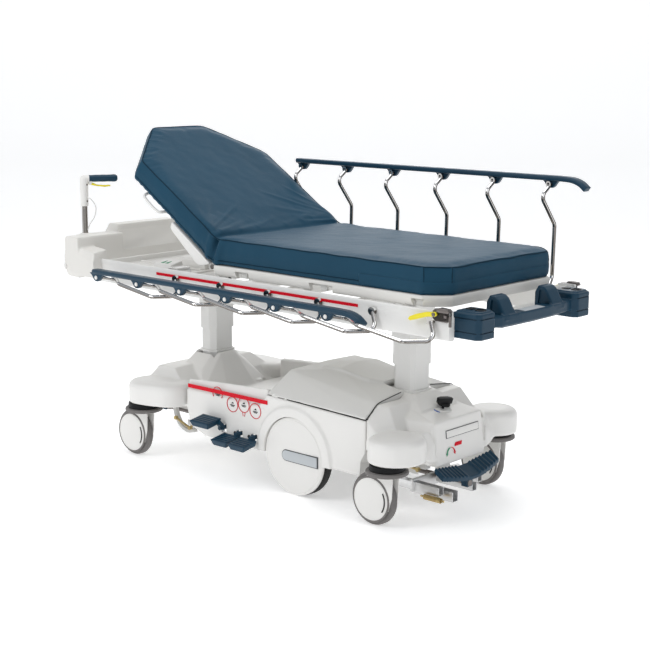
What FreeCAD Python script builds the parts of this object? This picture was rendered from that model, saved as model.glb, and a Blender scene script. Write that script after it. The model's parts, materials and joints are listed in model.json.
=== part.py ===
"""Electric-drive stretcher trolley: wheeled base, two lift columns, tilting litter with folding side rails.

Millimetres. +X points to the foot end, +Y to the patient's left, +Z up. The origin is on the floor,
in the middle of the trolley's length and width. The right side rail (-Y) stands lowered and the left
side rail (+Y) raised, the litter is at full height and the backrest is partly raised.
"""
import FreeCAD, Part
import math
import os
from FreeCAD import Vector as V

os.makedirs("parts", exist_ok=True)

# ---- driving dimensions -------------------------------------------------------------------------
HALF_LENGTH = 1110.0

# Castors
CASTER_X, CASTER_Y = 682.0, 336.0
WHEEL_R, WHEEL_TRAIL, WHEEL_HALF = 100.0, 58.0, 15.5
FORK_HALF, FORK_SLOT = 21.5, 16.5
RING_Z, RING_R = 217.0, 77.5
RUNNING_GAP = 0.05

# Frame members and shafts
MEMBER_Y, BRAKE_Z, BEARING_X = 118.0, 120.0, (-470.0, 420.0)
PEDAL_SHAFTS = [(-222.0, 206.0), (-128.0, 196.0), (-44.0, 196.0)]
PEDAL_SHAFT_R = 9.0

# Powered middle wheel
DRIVE_X, DRIVE_R, DRIVE_FACE = 175.0, 160.0, 290.0
DRIVE_AXLE_R, ARCH_R = 12.0, 200.0

# Lift columns
HEAD_X, FOOT_X = -577.0, 520.0
LIP_Z = [445.0, 540.0, 635.0, 730.0]
TOP_Z = [548.0, 644.0, 737.0, 838.0]
SLEEVE_WALL, SLEEVE_STEP, CYLINDER_TOP = 5.0, 6.0, 540.0
PIVOT_Z, PIVOT_R, PIVOT_REACH = 800.0, 12.0, 128.0
BUSH_WALL = 4.0

# Litter
TUBE_Y, TUBE_W, TUBE_LOW, TUBE_TOP = 380.0, 30.0, 745.0, 828.0
TUBE_HEAD, TUBE_FOOT = -930.0, 985.0
DECK_TOP, DECK_LOW, DECK_HALF = 889.0, 865.0, 372.0
DECK_FOOT, HINGE_X, HINGE_Z = 940.0, -222.0, 877.0
MATTRESS_T, MATTRESS_HALF, MATTRESS_FOOT = 104.0, 372.0, 945.0
BACK_ANGLE, BACK_LENGTH = 33.6, 788.0
FOOT_CHAMFER = (84.0, 74.0)
HEAD_CHAMFER = (218.0, 223.0)

# Backrest gas struts
STRUT_ARM, STRUT_FRAME_ANGLE, STRUT_PANEL_ANGLE, STRUT_Y = 119.5, 85.0, 12.0, 230.0
STRUT_BODY, STRUT_STEM, STRUT_BEAM_X = 124.0, 132.0, -178.0

# Side rails
POST_COUNT, POST_SPACING, POST_FOOT_X = 6, 262.8, 911.0
RAIL_PIVOT_Z, POST_R, RAIL_SWING = 812.0, 8.0, 82.9
POST_AXLE_R, RAIL_PIN_R = 8.0, 5.0
POST_EYE = (-82.0, 442.0, 411.0)
RAIL_LOW_Y, RAIL_HIGH_Y = 430.0, 470.0


# ---- general helpers ------------------------------------------------------------------------------
def box(x0, x1, y0, y1, z0, z1):
    return Part.makeBox(x1 - x0, y1 - y0, z1 - z0, V(x0, y0, z0))


def rounded_box(x0, x1, y0, y1, z0, z1, radius, edges="all"):
    solid = box(x0, x1, y0, y1, z0, z1)
    if edges == "all":
        return solid.makeFillet(radius, solid.Edges)
    direction = {"x": V(1, 0, 0), "y": V(0, 1, 0), "z": V(0, 0, 1)}[edges]
    chosen = [e for e in solid.Edges if abs(e.tangentAt(e.FirstParameter).dot(direction)) > 0.9]
    return solid.makeFillet(radius, chosen)


def rod(radius, start, end):
    axis = end - start
    return Part.makeCylinder(radius, axis.Length, start, axis)


def tube(outer, inner, start, end):
    return rod(outer, start, end).cut(rod(inner, start, end))


def across(radius, x, z, y0, y1):
    """A round bar along Y."""
    return rod(radius, V(x, y0, z), V(x, y1, z))


def round_corners(points, radius, closed=False):
    """Edges through the points, with each corner turned by an arc."""
    count = len(points)
    joints = range(count) if closed else range(1, count - 1)
    arcs = {}
    for i in joints:
        before, here, after = points[i - 1], points[i], points[(i + 1) % count]
        to_before = (before - here).normalize()
        to_after = (after - here).normalize()
        half = to_before.getAngle(to_after) / 2
        if half > math.pi / 2 - 1e-3:
            continue
        reach = min(radius / math.tan(half), (before - here).Length * 0.49, (after - here).Length * 0.49)
        bend = reach * math.tan(half)
        centre = here + (to_before + to_after).normalize() * (bend / math.sin(half))
        middle = centre + (here - centre).normalize() * bend
        arcs[i] = (here + to_before * reach, middle, here + to_after * reach)
    edges = []
    for i in range(count if closed else count - 1):
        j = (i + 1) % count
        start = arcs[i][2] if i in arcs else points[i]
        end = arcs[j][0] if j in arcs else points[j]
        if i in arcs:
            edges.append(Part.Arc(*arcs[i]).toShape())
        if (end - start).Length > 1e-6:
            edges.append(Part.makeLine(start, end))
    return edges


def plate(points, radius, direction):
    """A flat plate with rounded corners: a closed outline pushed along a direction."""
    wire = Part.Wire(Part.__sortEdges__(round_corners(points, radius, closed=True)))
    return Part.Face(wire).extrude(direction)


def side_plate(outline, radius, y0, y1):
    """A plate whose outline is given as (x, z) pairs, between two Y planes."""
    return plate([V(x, y0, z) for x, z in outline], radius, V(0, y1 - y0, 0))


def plan_plate(outline, radius, z0, z1):
    """A plate whose outline is given as (x, y) pairs, between two heights."""
    return plate([V(x, y, z0) for x, y in outline], radius, V(0, 0, z1 - z0))


def bent_tube(points, bend, radius):
    wire = Part.Wire(round_corners(points, bend))
    start = (points[1] - points[0]).normalize()
    ring = Part.Wire(Part.makeCircle(radius, points[0], start))
    return wire.makePipeShell([ring], True, False)


def frustum(low, high, z0, z1, radius=0.0):
    """A tapered block between two rectangles (x0, x1, y0, y1)."""
    wires = []
    for (x0, x1, y0, y1), z in ((low, z0), (high, z1)):
        corners = [V(x0, y0, z), V(x1, y0, z), V(x1, y1, z), V(x0, y1, z)]
        if radius:
            wires.append(Part.Wire(Part.__sortEdges__(round_corners(corners, radius, closed=True))))
        else:
            wires.append(Part.makePolygon(corners + corners[:1]))
    return Part.makeLoft(wires, True, True)


def join(*shapes):
    first, rest = shapes[0], list(shapes[1:])
    return first.multiFuse(rest).removeSplitter() if rest else first


def mirrored(shape):
    """The same shape on the other side of the trolley's middle plane."""
    return shape.mirror(V(0, 0, 0), V(0, 1, 0))


def both_sides(shape):
    return [shape, mirrored(shape)]


def turned(shape, degrees, x, z):
    """Turned about the Y axis through (x, z); positive raises what points to the head end."""
    copy = shape.copy()
    copy.rotate(V(x, 0, z), V(0, 1, 0), degrees)
    return copy


def save(node, shape):
    solids = shape if isinstance(shape, list) else [shape]
    body = Part.makeCompound([s for item in solids for s in item.Solids])
    body.exportStep("parts/%s.step" % node)


# ---- castors --------------------------------------------------------------------------------------
def caster_fork():
    """Moulded fork with its wheel axle, at swivel axis x = y = 0."""
    wheel_x = -WHEEL_TRAIL
    cheeks = []
    for side in (-1, 1):
        inner, outer = side * FORK_SLOT, side * FORK_HALF
        disc = across(84, wheel_x, WHEEL_R, inner, outer)
        web = side_plate([(wheel_x - 52, 168), (wheel_x - 70, 150), (20, 60), (38, 120), (42, 206),
                          (-44, 206)],
                         8, min(inner, outer), max(inner, outer))
        cheeks.append(disc.fuse(web))
    crown = box(-44, 42, -FORK_HALF, FORK_HALF, 203, 206)
    head = rod(40, V(0, 0, 204), V(0, 0, 208))
    ring = rod(RING_R, V(0, 0, 206), V(0, 0, RING_Z))
    ring = ring.makeFillet(4, [e for e in ring.Edges if e.Curve.TypeId == "Part::GeomCircle"])
    axle = across(6, wheel_x, WHEEL_R, -FORK_HALF + 0.5, FORK_HALF - 0.5)
    socket = rod(12 + RUNNING_GAP, V(0, 0, 200), V(0, 0, RING_Z + 1))
    return join(*cheeks, crown, head, ring, axle).cut(socket)


def caster_wheel():
    """Wheel with a rounded tread, at swivel axis x = y = 0."""
    profile = round_corners([V(6 + RUNNING_GAP, -WHEEL_HALF, 0), V(90, -WHEEL_HALF, 0), V(97, -14, 0),
                             V(WHEEL_R, -8, 0), V(WHEEL_R, 8, 0), V(97, 14, 0), V(90, WHEEL_HALF, 0),
                             V(6 + RUNNING_GAP, WHEEL_HALF, 0)], 3, closed=True)
    face = Part.Face(Part.Wire(Part.__sortEdges__(profile)))
    wheel = face.revolve(V(0, 0, 0), V(0, 1, 0), 360)
    wheel.translate(V(-WHEEL_TRAIL, 0, WHEEL_R))
    return wheel


def casters():
    corners = {"head_right": (-1, -1), "head_left": (-1, 1), "foot_right": (1, -1), "foot_left": (1, 1)}
    stems = []
    for name, (sx, sy) in corners.items():
        place = V(sx * CASTER_X, sy * CASTER_Y, 0)
        for kind, shape in (("fork", caster_fork()), ("wheel", caster_wheel())):
            shape.translate(place)
            save("caster_%s_%s" % (kind, name), shape)
        flange = rod(52, V(0, 0, RING_Z + 1.5), V(0, 0, 226))
        stem = rod(12, V(0, 0, 207), V(0, 0, 222)).fuse(flange)
        stem.translate(place)
        stems.append(stem)
    save("caster_mounts", stems)


# ---- base -----------------------------------------------------------------------------------------
def base_frame():
    """Welded ladder frame: two side members, caster beams, column seats and bearing bars."""
    members = []
    for side in (-1, 1):
        y = side * MEMBER_Y
        members.append(box(-700, 700, y - 15, y + 15, 178, 226))
    for x in (-CASTER_X, CASTER_X):
        members.append(rounded_box(x - 32, x + 32, -382, 382, 226, 250, 6, "z"))
        members.append(box(x - 32, x + 32, -MEMBER_Y, MEMBER_Y, 205, 230))
    for x in (HEAD_X, FOOT_X):
        members.append(box(x - 60, x + 60, -MEMBER_Y, MEMBER_Y, 226, 240))
    for x in BEARING_X:
        members.append(box(x - 20, x + 20, -MEMBER_Y, MEMBER_Y, 190, 226))
    for x in (-CASTER_X, CASTER_X) + BEARING_X:
        members.append(box(x - 14, x + 14, -24, 24, BRAKE_Z - 16, 206))
    frame = join(*members).cut(rod(10 + RUNNING_GAP, V(-800, 0, BRAKE_Z), V(800, 0, BRAKE_Z)))
    for x, z in PEDAL_SHAFTS:
        frame = frame.cut(across(PEDAL_SHAFT_R + RUNNING_GAP, x, z, -200, 200))
    return frame


def frame_clearance():
    """Openings that the hoods leave for the frame's beams."""
    beams = []
    for x in (-CASTER_X, CASTER_X):
        beams.append(box(x - 35, x + 35, -386, 386, 203, 253))
    beams.append(box(-703, 703, -MEMBER_Y - 18, MEMBER_Y + 18, 175, 243))
    return join(*beams)


def horn_cover(x, side, inset):
    """Rounded cap over one castor."""
    outward = 1 if x > 0 else -1
    low = 256 if inset == 0 else 250
    return plan_plate([(x + outward * (96 - inset), side * 200),
                       (x + outward * (96 - inset), side * (402 - inset)),
                       (x - outward * (98 - inset), side * (402 - inset)),
                       (x - outward * (118 - inset), side * 200)], 86 - inset, low, 339 - inset)


def head_hood_body(inset):
    """Outside (inset 0) or inside of the head-end hood, without its tray."""
    low = 145 if inset == 0 else 130
    walls = side_plate([(-34, low), (-337, low), (-429 + inset, 177), (-446 + inset, 256),
                        (-446 + inset, 386 - inset), (-34, 386 - inset)], 3, -298 + inset, 298 - inset)
    block = frustum((-735 + inset, -440, -300 + inset, 300 - inset),
                    (-705 + inset, -440, -252 + inset, 252 - inset),
                    255 if inset == 0 else 250, 400 - inset)
    nose = box(-735 + inset, -440, -150 + inset, 150 - inset, 200 if inset == 0 else 190, 300)
    skirt = frustum((-690 + inset, -395 - inset, -175 + inset, 175 - inset),
                    (HEAD_X - 62, HEAD_X + 66, -62, 62), 360, 440 + (0 if inset == 0 else 5))
    horns = [horn_cover(-665, side, inset) for side in (-1, 1)]
    return join(walls, block, nose, skirt, *horns)


def head_hood():
    """Head-end hood: a shell with the storage tray sunk in its top."""
    wall = 4
    shell = head_hood_body(0).cut(head_hood_body(wall))
    tray = box(-395, -34, -270, 270, 330, 400)
    pan = box(-399, -34, -274, 274, 326, 386)
    shell = shell.fuse(pan).cut(tray)
    for side in (-1, 1):
        y0, y1 = sorted((side * 260, side * 310))
        for x, z in PEDAL_SHAFTS:
            shell = shell.cut(box(x - 15, x + 15, y0, y1, z - 22, z + 13))
    return shell.cut(frame_clearance()).removeSplitter()


def drive_body(inset):
    low = 150 if inset == 0 else 140
    main = side_plate([(-26 + inset, low), (540, low), (540, 369 - inset), (26 + inset, 382 - inset),
                       (-26 + inset, 330)], 3, -298 + inset, 298 - inset)
    arches = [across(ARCH_R - inset, DRIVE_X, DRIVE_R + 10, -304 + inset, -296),
              across(ARCH_R - inset, DRIVE_X, DRIVE_R + 10, 296, 304 - inset)]
    arches = [a.common(box(-40, 600, -320, 320, low, 364)) for a in arches]
    return join(main, *arches)


def drive_housing():
    """Middle housing with the two wheel arches; open below and above."""
    shell = drive_body(0).cut(drive_body(4))
    shell = shell.cut(across(DRIVE_R + 5, DRIVE_X, DRIVE_R, -320, 320))
    shell = shell.cut(box(-100, 545, -220, 220, 100, 420))
    foot_gap = box(500, 560, -320, 320, 100, 256)
    return shell.cut(foot_gap)


def drive_lid():
    """Lid over the drive unit."""
    def block(inset):
        low = [(28 + inset, -296 + inset), (540 - inset, -296 + inset), (540 - inset, 296 - inset),
               (28 + inset, 296 - inset)]
        high = [(90, -250 + inset), (536 - inset, -225 + inset), (536 - inset, 225 - inset),
                (90, 250 - inset)]
        low_z, high_z = [384, 371, 371, 384], [452, 428, 428, 452]
        drop = 0 if inset == 0 else 6
        bottom = [V(x, y, z - drop) for (x, y), z in zip(low, low_z)]
        top = [V(x, y, z - inset) for (x, y), z in zip(high, high_z)]
        wires = [Part.makePolygon(w + w[:1]) for w in (bottom, top)]
        return Part.makeLoft(wires, True, True)
    lid = block(0).cut(block(4))
    well = box(FOOT_X - 64, 560, -66, 66, 360, 470)
    return lid.cut(well)


def foot_hood_body(inset):
    low = 201 if inset == 0 else 190
    middle = side_plate([(544, low), (766 - inset, low), (752 - inset, 372 - inset), (576, 420 - inset),
                         (544, 420 - inset)],
                        4, -150 + inset, 150 - inset)
    upper = frustum((544, 745 - inset, -290 + inset, 290 - inset),
                    (544, 640 - inset, -215 + inset, 215 - inset),
                    256 if inset == 0 else 250, 418 - inset)
    horns = [horn_cover(665, side, inset) for side in (-1, 1)]
    return join(middle, upper, *horns)


def foot_hood():
    """Foot-end hood with the sloping control panel."""
    shell = foot_hood_body(0).cut(foot_hood_body(4))
    shell = shell.cut(box(500, FOOT_X + 64, -66, 66, 190, 470))
    knob_shaft = rod(6, KNOB_CENTRE - KNOB_AXIS * 40, KNOB_CENTRE + KNOB_AXIS * 40)
    return shell.cut(knob_shaft).cut(frame_clearance())


def column_section(which, grow, z0, z1):
    """One solid length of column, in plan outline grown by a distance."""
    if which == "head":
        outline = [(46, -46), (46, 46), (18, 60), (-30, 60), (-46, 44), (-46, -44), (-30, -60), (18, -60)]
        x = HEAD_X
    else:
        outline = [(50, -44), (50, 44), (36, 55), (-36, 55), (-50, 44), (-50, -44), (-36, -55), (36, -55)]
        x = FOOT_X
    wire = Part.makePolygon([V(x + px, py, z0) for px, py in outline + outline[:1]])
    if grow:
        wire = wire.makeOffset2D(grow, 2)
    return Part.Face(wire).extrude(V(0, 0, z1 - z0))


def columns():
    """Telescopic shrouds, hydraulic cylinders and rams of both lift columns."""
    collars, cylinders = [], []
    for which, x in (("head", HEAD_X), ("foot", FOOT_X)):
        stages = []
        for i in range(4):
            outer = i * SLEEVE_STEP
            stage = column_section(which, outer, LIP_Z[i], TOP_Z[i])
            hollow = column_section(which, outer - SLEEVE_WALL, LIP_Z[i] - 1,
                                    TOP_Z[i] + (-10 if i == 3 else 1))
            stages.append(stage.cut(hollow))
        seat = column_section(which, 10, 438, LIP_Z[0]).cut(rod(30, V(x, 0, 430), V(x, 0, 450)))
        skirt = column_section(which, 0, 240, 438).cut(column_section(which, -SLEEVE_WALL, 239, 439))
        collars.append(join(stages[0], seat, skirt))
        save("%s_sleeve_lower" % which, stages[1])
        save("%s_sleeve_upper" % which, stages[2])
        ram_low = CYLINDER_TOP - 22
        ram = rod(20, V(x, 0, ram_low), V(x, 0, TOP_Z[3] - 8))
        pins = [across(PIVOT_R, x, PIVOT_Z, side * 60, side * PIVOT_REACH) for side in (-1, 1)]
        hollow = column_section(which, 3 * SLEEVE_STEP - SLEEVE_WALL, LIP_Z[3], TOP_Z[3] - 10)
        pins = [pin.cut(hollow) for pin in pins]
        save("%s_column_top" % which, join(stages[3], ram, *pins))
        cylinder = tube(28, 20 + RUNNING_GAP, V(x, 0, 244), V(x, 0, CYLINDER_TOP))
        cylinders.append(cylinder.fuse(rod(28, V(x, 0, 240), V(x, 0, 244.5))))
    save("column_collars", collars)
    save("lift_cylinders", cylinders)


def drive_unit():
    """Gearmotor and battery pack between the side members."""
    gearcase = rounded_box(DRIVE_X - 60, DRIVE_X + 60, -70, 70, 136, 220, 12, "y")
    motor = across(34, DRIVE_X + 70, 196, -60, 98)
    battery = rounded_box(DRIVE_X - 150, DRIVE_X + 120, -190, 190, 272, 350, 10, "z")
    post = box(DRIVE_X - 30, DRIVE_X + 30, -30, 30, 210, 275)
    legs = [box(x, x + 30, side * MEMBER_Y - 15, side * MEMBER_Y + 15, 226, 275)
            for side in (-1, 1) for x in (DRIVE_X - 130, DRIVE_X + 70)]
    bracket = box(DRIVE_X - 60, DRIVE_X + 60, -MEMBER_Y + 15, MEMBER_Y - 15, 190, 215)
    unit = join(gearcase, motor, battery, post, bracket, *legs)
    return unit.cut(across(DRIVE_AXLE_R + RUNNING_GAP, DRIVE_X, DRIVE_R, -200, 200))


def drive_wheel():
    """Hubs with axle, and tyres, of the two powered middle wheels."""
    hubs, tyres = [across(DRIVE_AXLE_R, DRIVE_X, DRIVE_R, -270, 270)], []
    for side in (-1, 1):
        face = side * DRIVE_FACE
        disc = across(140, DRIVE_X, DRIVE_R, side * 254, face)
        disc = disc.makeFillet(6, [e for e in disc.Edges if abs(e.CenterOfMass.y - face) < 0.1])
        hubs.append(disc)
        tyre = across(DRIVE_R, DRIVE_X, DRIVE_R, side * 244, side * 284)
        rims = [e for e in tyre.Edges if e.Curve.TypeId == "Part::GeomCircle"]
        tyre = tyre.makeFillet(10, rims).cut(across(140, DRIVE_X, DRIVE_R, -300, 300))
        tyres.append(tyre)
    save("drive_wheel_hubs", join(*hubs))
    save("drive_wheel_tyres", tyres)


def pad(x0, x1, y0, y1, z_low, z_high, sink):
    """A tread pad that slopes down away from the trolley."""
    outline = [(y0, z_high), (y1, z_high - sink), (y1, z_low - sink * 0.4), (y0, z_low)]
    block = plate([V(x0, y, z) for y, z in outline], 5, V(x1 - x0, 0, 0))
    return block


def foot_pedals():
    """Pump and release pedals: a pad on each side, joined by a shaft across the base."""
    pump_x, pump_z = PEDAL_SHAFTS[0]
    pads = [across(PEDAL_SHAFT_R, pump_x, pump_z, -330, 330)]
    for side in both_sides(join(pad(-349, -196, -392, -312, 222, 250, 16),
                                box(-240, -210, -330, -306, 197, 236))):
        pads.append(side)
    save("pump_pedal", join(*pads))
    for name, (x, z), span in (("release_pedal_head", PEDAL_SHAFTS[1], (-218, -118)),
                               ("release_pedal_foot", PEDAL_SHAFTS[2], (-108, -8))):
        pads = [across(PEDAL_SHAFT_R, x, z, -330, 330)]
        for side in both_sides(join(pad(span[0], span[1], -400, -312, 160, 192, 14),
                                    box(x - 12, x + 12, -330, -306, 178, 206))):
            pads.append(side)
        save(name, join(*pads))


def brake_pedals():
    """Brake and steer shaft along the base with a butterfly pedal at each end."""
    shaft = rod(10, V(-905, 0, BRAKE_Z), V(800, 0, BRAKE_Z))
    parts = [shaft]
    for x, reach in ((789, 18), (-900, -18)):
        x0, x1 = sorted((x - reach, x + reach))
        outline = [(0, 138), (60, 142), (110, 168), (173, 196), (180, 214), (168, 222), (100, 196),
                   (48, 170), (0, 164)]
        outline += [(-y, z) for y, z in reversed(outline[1:-1])]
        wing = plate([V(x0, y, z) for y, z in outline], 6, V(x1 - x0, 0, 0))
        stem = box(x0 + 4, x1 - 4, -16, 16, 106, 150)
        parts += [wing, stem]
    return join(*parts)


KNOB_CENTRE = V(672, 6, 395)
KNOB_AXIS = V(0.26, 0, 0.966)


def selector_knob():
    """Steering selector on the foot-end panel: a barrel with a grip bar and a shaft."""
    base = KNOB_CENTRE + KNOB_AXIS * 8
    barrel = rod(20, base, base + KNOB_AXIS * 12)
    bar = box(-26, 26, -8, 8, 0, 18)
    bar = bar.makeFillet(3, bar.Edges)
    bar.rotate(V(0, 0, 0), V(0, 1, 0), 15.07)
    bar.translate(base + KNOB_AXIS * 8)
    stem = rod(5.9, KNOB_CENTRE - KNOB_AXIS * 20, base + KNOB_AXIS)
    return join(barrel, bar, stem)


# ---- litter ---------------------------------------------------------------------------------------
def pivot_bushes():
    """Flanged bearing bushes between the head column's pins and the litter's lugs."""
    bore = PIVOT_R + RUNNING_GAP
    bush = tube(PIVOT_R + BUSH_WALL, bore, V(HEAD_X, -126, PIVOT_Z), V(HEAD_X, -103, PIVOT_Z))
    flange = tube(34, bore, V(HEAD_X, -104, PIVOT_Z), V(HEAD_X, -97, PIVOT_Z))
    return both_sides(bush.fuse(flange))


def rail_pivots():
    return [POST_FOOT_X - i * POST_SPACING for i in range(POST_COUNT)]


def litter_frame():
    """Two side tubes, cross tubes, head pivot lugs, slotted foot lugs and the latch brackets."""
    members = []
    for y0 in (-TUBE_Y, TUBE_Y - TUBE_W):
        members.append(rounded_box(TUBE_HEAD, TUBE_FOOT, y0, y0 + TUBE_W, TUBE_LOW, TUBE_TOP, 9, "x"))
    inner = TUBE_Y - TUBE_W
    for x in (-900, -440, STRUT_BEAM_X, 60, 430, 640, 960):
        members.append(box(x - 18, x + 18, -inner - 2, inner + 2, 770, 806))
    for side in (-1, 1):
        y0, y1 = sorted((side * 106, side * 124))
        members.append(box(-460, -440, side * 115 - 9, side * 115 + 9, 770, 830))
        members.append(side_plate([(HEAD_X - 34, 774), (-440, 774), (-440, 834), (HEAD_X - 34, 834)], 10,
                                  y0, y1))
        members.append(side_plate([(430, 772), (650, 772), (650, 832), (430, 832)], 10, y0, y1))
        for x in (-150, 300, 800):
            members.append(box(x - 15, x + 15, side * 354 - 6, side * 354 + 6, TUBE_TOP - 12, DECK_LOW))
        strut_y = side * STRUT_Y
        pin_x, pin_z = strut_frame_pin()
        for offset in (-24, 18):
            ear = side_plate([(pin_x - 18, 742), (pin_x + 26, 742), (STRUT_BEAM_X + 12, 770),
                              (STRUT_BEAM_X + 12, 800), (pin_x + 10, 790),
                              (pin_x - 18, 776)], 5, strut_y + offset, strut_y + offset + 6)
            members.append(ear)
        members.append(across(7, pin_x, pin_z, strut_y - 24, strut_y + 24))
        bracket_y = sorted((side * (TUBE_Y - 2), side * 398))
        members.append(side_plate([(925, 816), (1000, 812), (1000, 856), (925, 856)], 5, *bracket_y))
        members.append(across(4, 938, 838, side * 396, side * 410))
        hinge_y = sorted((side * 300, side * 330))
        members.append(side_plate([(HINGE_X - 10, 866), (HINGE_X - 10, 888), (HINGE_X + 12, 888),
                                   (HINGE_X + 12, 806),
                                   (HINGE_X - 10, 806)], 4, *hinge_y))
        members.append(box(HINGE_X - 10, HINGE_X + 12, *sorted((side * 300, side * 355)), 796, 818))
        members.append(across(6, HINGE_X, HINGE_Z, side * 300, side * 352))
    frame = join(*members)
    holes = []
    for side in (-1, 1):
        holes += [across(POST_AXLE_R + RUNNING_GAP, x, RAIL_PIVOT_Z, side * 340,
                         side * 390) for x in rail_pivots()]
        holes.append(across(PIVOT_R + BUSH_WALL + RUNNING_GAP, HEAD_X, PIVOT_Z, side * 100, side * 130))
        slot = [(FOOT_X - 17, PIVOT_Z - 15), (FOOT_X + 50, PIVOT_Z - 15), (FOOT_X + 50, PIVOT_Z + 15),
                (FOOT_X - 17, PIVOT_Z + 15)]
        holes.append(side_plate(slot, 14.5, *sorted((side * 100, side * 130))))
    for hole in holes:
        frame = frame.cut(hole)
    frame = frame.cut(box(HEAD_X - 90, HEAD_X + 90, -95, 95, 765, 845))
    return frame.cut(box(FOOT_X - 140, FOOT_X + 172, -95, 95, 765, 845))


def litter_deck():
    """Seat and leg platform with its turned-down skirt."""
    cx, cy = FOOT_CHAMFER
    outline = [(HINGE_X + 18, -DECK_HALF), (DECK_FOOT - cx, -DECK_HALF), (DECK_FOOT, -DECK_HALF + cy),
               (DECK_FOOT, DECK_HALF - cy), (DECK_FOOT - cx, DECK_HALF), (HINGE_X + 18, DECK_HALF)]
    deck = plan_plate(outline, 18, 847, DECK_TOP - 1)
    inside = plan_plate([(x * 0.985, y * 0.985) for x, y in outline], 18, 840, DECK_LOW)
    deck = deck.cut(inside)
    deck = deck.cut(box(FOOT_X + 20, FOOT_X + 175, -78, 78, 860, 880))
    return deck.cut(box(HINGE_X - 20, HINGE_X + 30, -400, 400, 840, 866))


def mattress(side):
    """One foam section, bevelled at the crease so that the backrest can rise to upright."""
    low, high = DECK_TOP, DECK_TOP + MATTRESS_T
    if side == "seat":
        cx, cy = FOOT_CHAMFER
        end, start = MATTRESS_FOOT, HINGE_X
    else:
        cx, cy = HEAD_CHAMFER
        end, start = HINGE_X - BACK_LENGTH, HINGE_X
    step = 1 if end > start else -1
    outline = [(start, -MATTRESS_HALF), (end - step * cx, -MATTRESS_HALF), (end, -MATTRESS_HALF + cy),
               (end, MATTRESS_HALF - cy), (end - step * cx, MATTRESS_HALF), (start, MATTRESS_HALF)]
    pad_solid = plan_plate(outline, 25, low, high)
    depth = high - HINGE_Z
    bevel = side_plate([(start + step * 8, low - 5), (start + step * (depth + 14), high + 6),
                        (start - step * 40, high + 6),
                        (start - step * 40, low - 5)], 0.5, -400, 400)
    return pad_solid.cut(bevel)


def raised(shape):
    """A backrest part, modelled flat, in its rest position."""
    return turned(shape, BACK_ANGLE, HINGE_X, HINGE_Z)


def backrest_panel():
    """Backrest board with hinge eyes and the struts' brackets, modelled flat and then raised."""
    cx, cy = HEAD_CHAMFER
    end = HINGE_X - BACK_LENGTH + 8
    half = DECK_HALF - 4
    outline = [(HINGE_X - 16, -half), (end + cx, -half), (end, -half + cy), (end, half - cy),
               (end + cx, half),
               (HINGE_X - 16, half)]
    board = plan_plate(outline, 18, DECK_LOW + 2, DECK_TOP - 1)
    parts = [board]
    panel_x, panel_z = strut_panel_pin()
    for side in (-1, 1):
        eye_y = sorted((side * 332, side * 350))
        eye = side_plate([(HINGE_X - 40, 868), (HINGE_X - 40, 887), (HINGE_X + 10, 887),
                          (HINGE_X + 10, 868)], 8, *eye_y)
        parts.append(eye)
        y = side * STRUT_Y
        for offset in (-24, 18):
            parts.append(side_plate([(panel_x - 26, 870), (panel_x - 14, panel_z - 13),
                                     (panel_x + 14, panel_z - 13),
                                     (panel_x + 26, 870)], 4, y + offset, y + offset + 6))
        parts.append(across(7, panel_x, panel_z, y - 24, y + 24))
    panel = join(*parts)
    for side in (-1, 1):
        panel = panel.cut(across(6 + RUNNING_GAP, HINGE_X, HINGE_Z, side * 325, side * 356))
    return raised(panel)


def strut_frame_pin():
    angle = math.radians(STRUT_FRAME_ANGLE)
    return HINGE_X - STRUT_ARM * math.cos(angle), HINGE_Z - STRUT_ARM * math.sin(angle)


def strut_panel_pin(raise_angle=0.0):
    angle = math.radians(raise_angle - STRUT_PANEL_ANGLE)
    return HINGE_X - STRUT_ARM * math.cos(angle), HINGE_Z + STRUT_ARM * math.sin(angle)


def gas_struts():
    """Cylinders on the litter and rods on the backrest; they point at each other at every angle."""
    x0, z0 = strut_frame_pin()
    x1, z1 = strut_panel_pin(BACK_ANGLE)
    cylinders, rods = [], []
    for side in (-1, 1):
        y = side * STRUT_Y
        low, high = V(x0, y, z0), V(x1, y, z1)
        along = (high - low).normalize()
        body = rod(15, low + along * 5, low + along * STRUT_BODY)
        eye = across(13, x0, z0, y - 10, y + 10)
        bore = rod(7 + RUNNING_GAP, low + along * 8, low + along * (STRUT_BODY + 2))
        cylinders.append(body.fuse(eye).cut(bore).cut(across(7 + RUNNING_GAP, x0, z0, y - 20, y + 20)))
        stem = rod(7, high - along * STRUT_STEM, high - along * 5)
        eye = across(13, x1, z1, y - 10, y + 10)
        rods.append(stem.fuse(eye).cut(across(7 + RUNNING_GAP, x1, z1, y - 20, y + 20)))
    save("strut_cylinders", cylinders)
    save("strut_rods", rods)


def head_housing():
    """White head-end housing that carries the push handles."""
    back = -HALF_LENGTH
    def block(inset):
        low_z = 755 if inset == 0 else 745
        main = frustum((back + 12 + inset, HOUSING_FACE - inset, -424 + inset, 424 - inset),
                       (back + inset, HOUSING_FACE - inset, -432 + inset, 432 - inset), low_z, 930 - inset,
                       16)
        middle = frustum((back + 4 + inset, HOUSING_NOTCH - inset, -190 + inset, 190 - inset),
                         (back + 14 + inset, HOUSING_NOTCH - inset, -168 + inset, 168 - inset), 900,
                         968 - inset, 10)
        notch = box(HOUSING_NOTCH - inset, HOUSING_FACE + 10, -176 - inset, 176 + inset, 858 - inset, 1000)
        return join(main.cut(notch), middle)
    shell = block(0).cut(block(4))
    caps = []
    for side in (-1, 1):
        caps.append(rounded_box(HOUSING_FACE, TUBE_HEAD - 1, *sorted((side * 340, side * 424)), 768, 862,
                                12, "x"))
        caps.append(rod(22, V(-1076, side * 320, 900), V(-1076, side * 320, 938)))
    shell = join(shell, *caps)
    for side in (-1, 1):
        shell = shell.cut(rod(13 + RUNNING_GAP, V(-1076, side * 320, 800), V(-1076, side * 320, 960)))
    return shell


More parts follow.
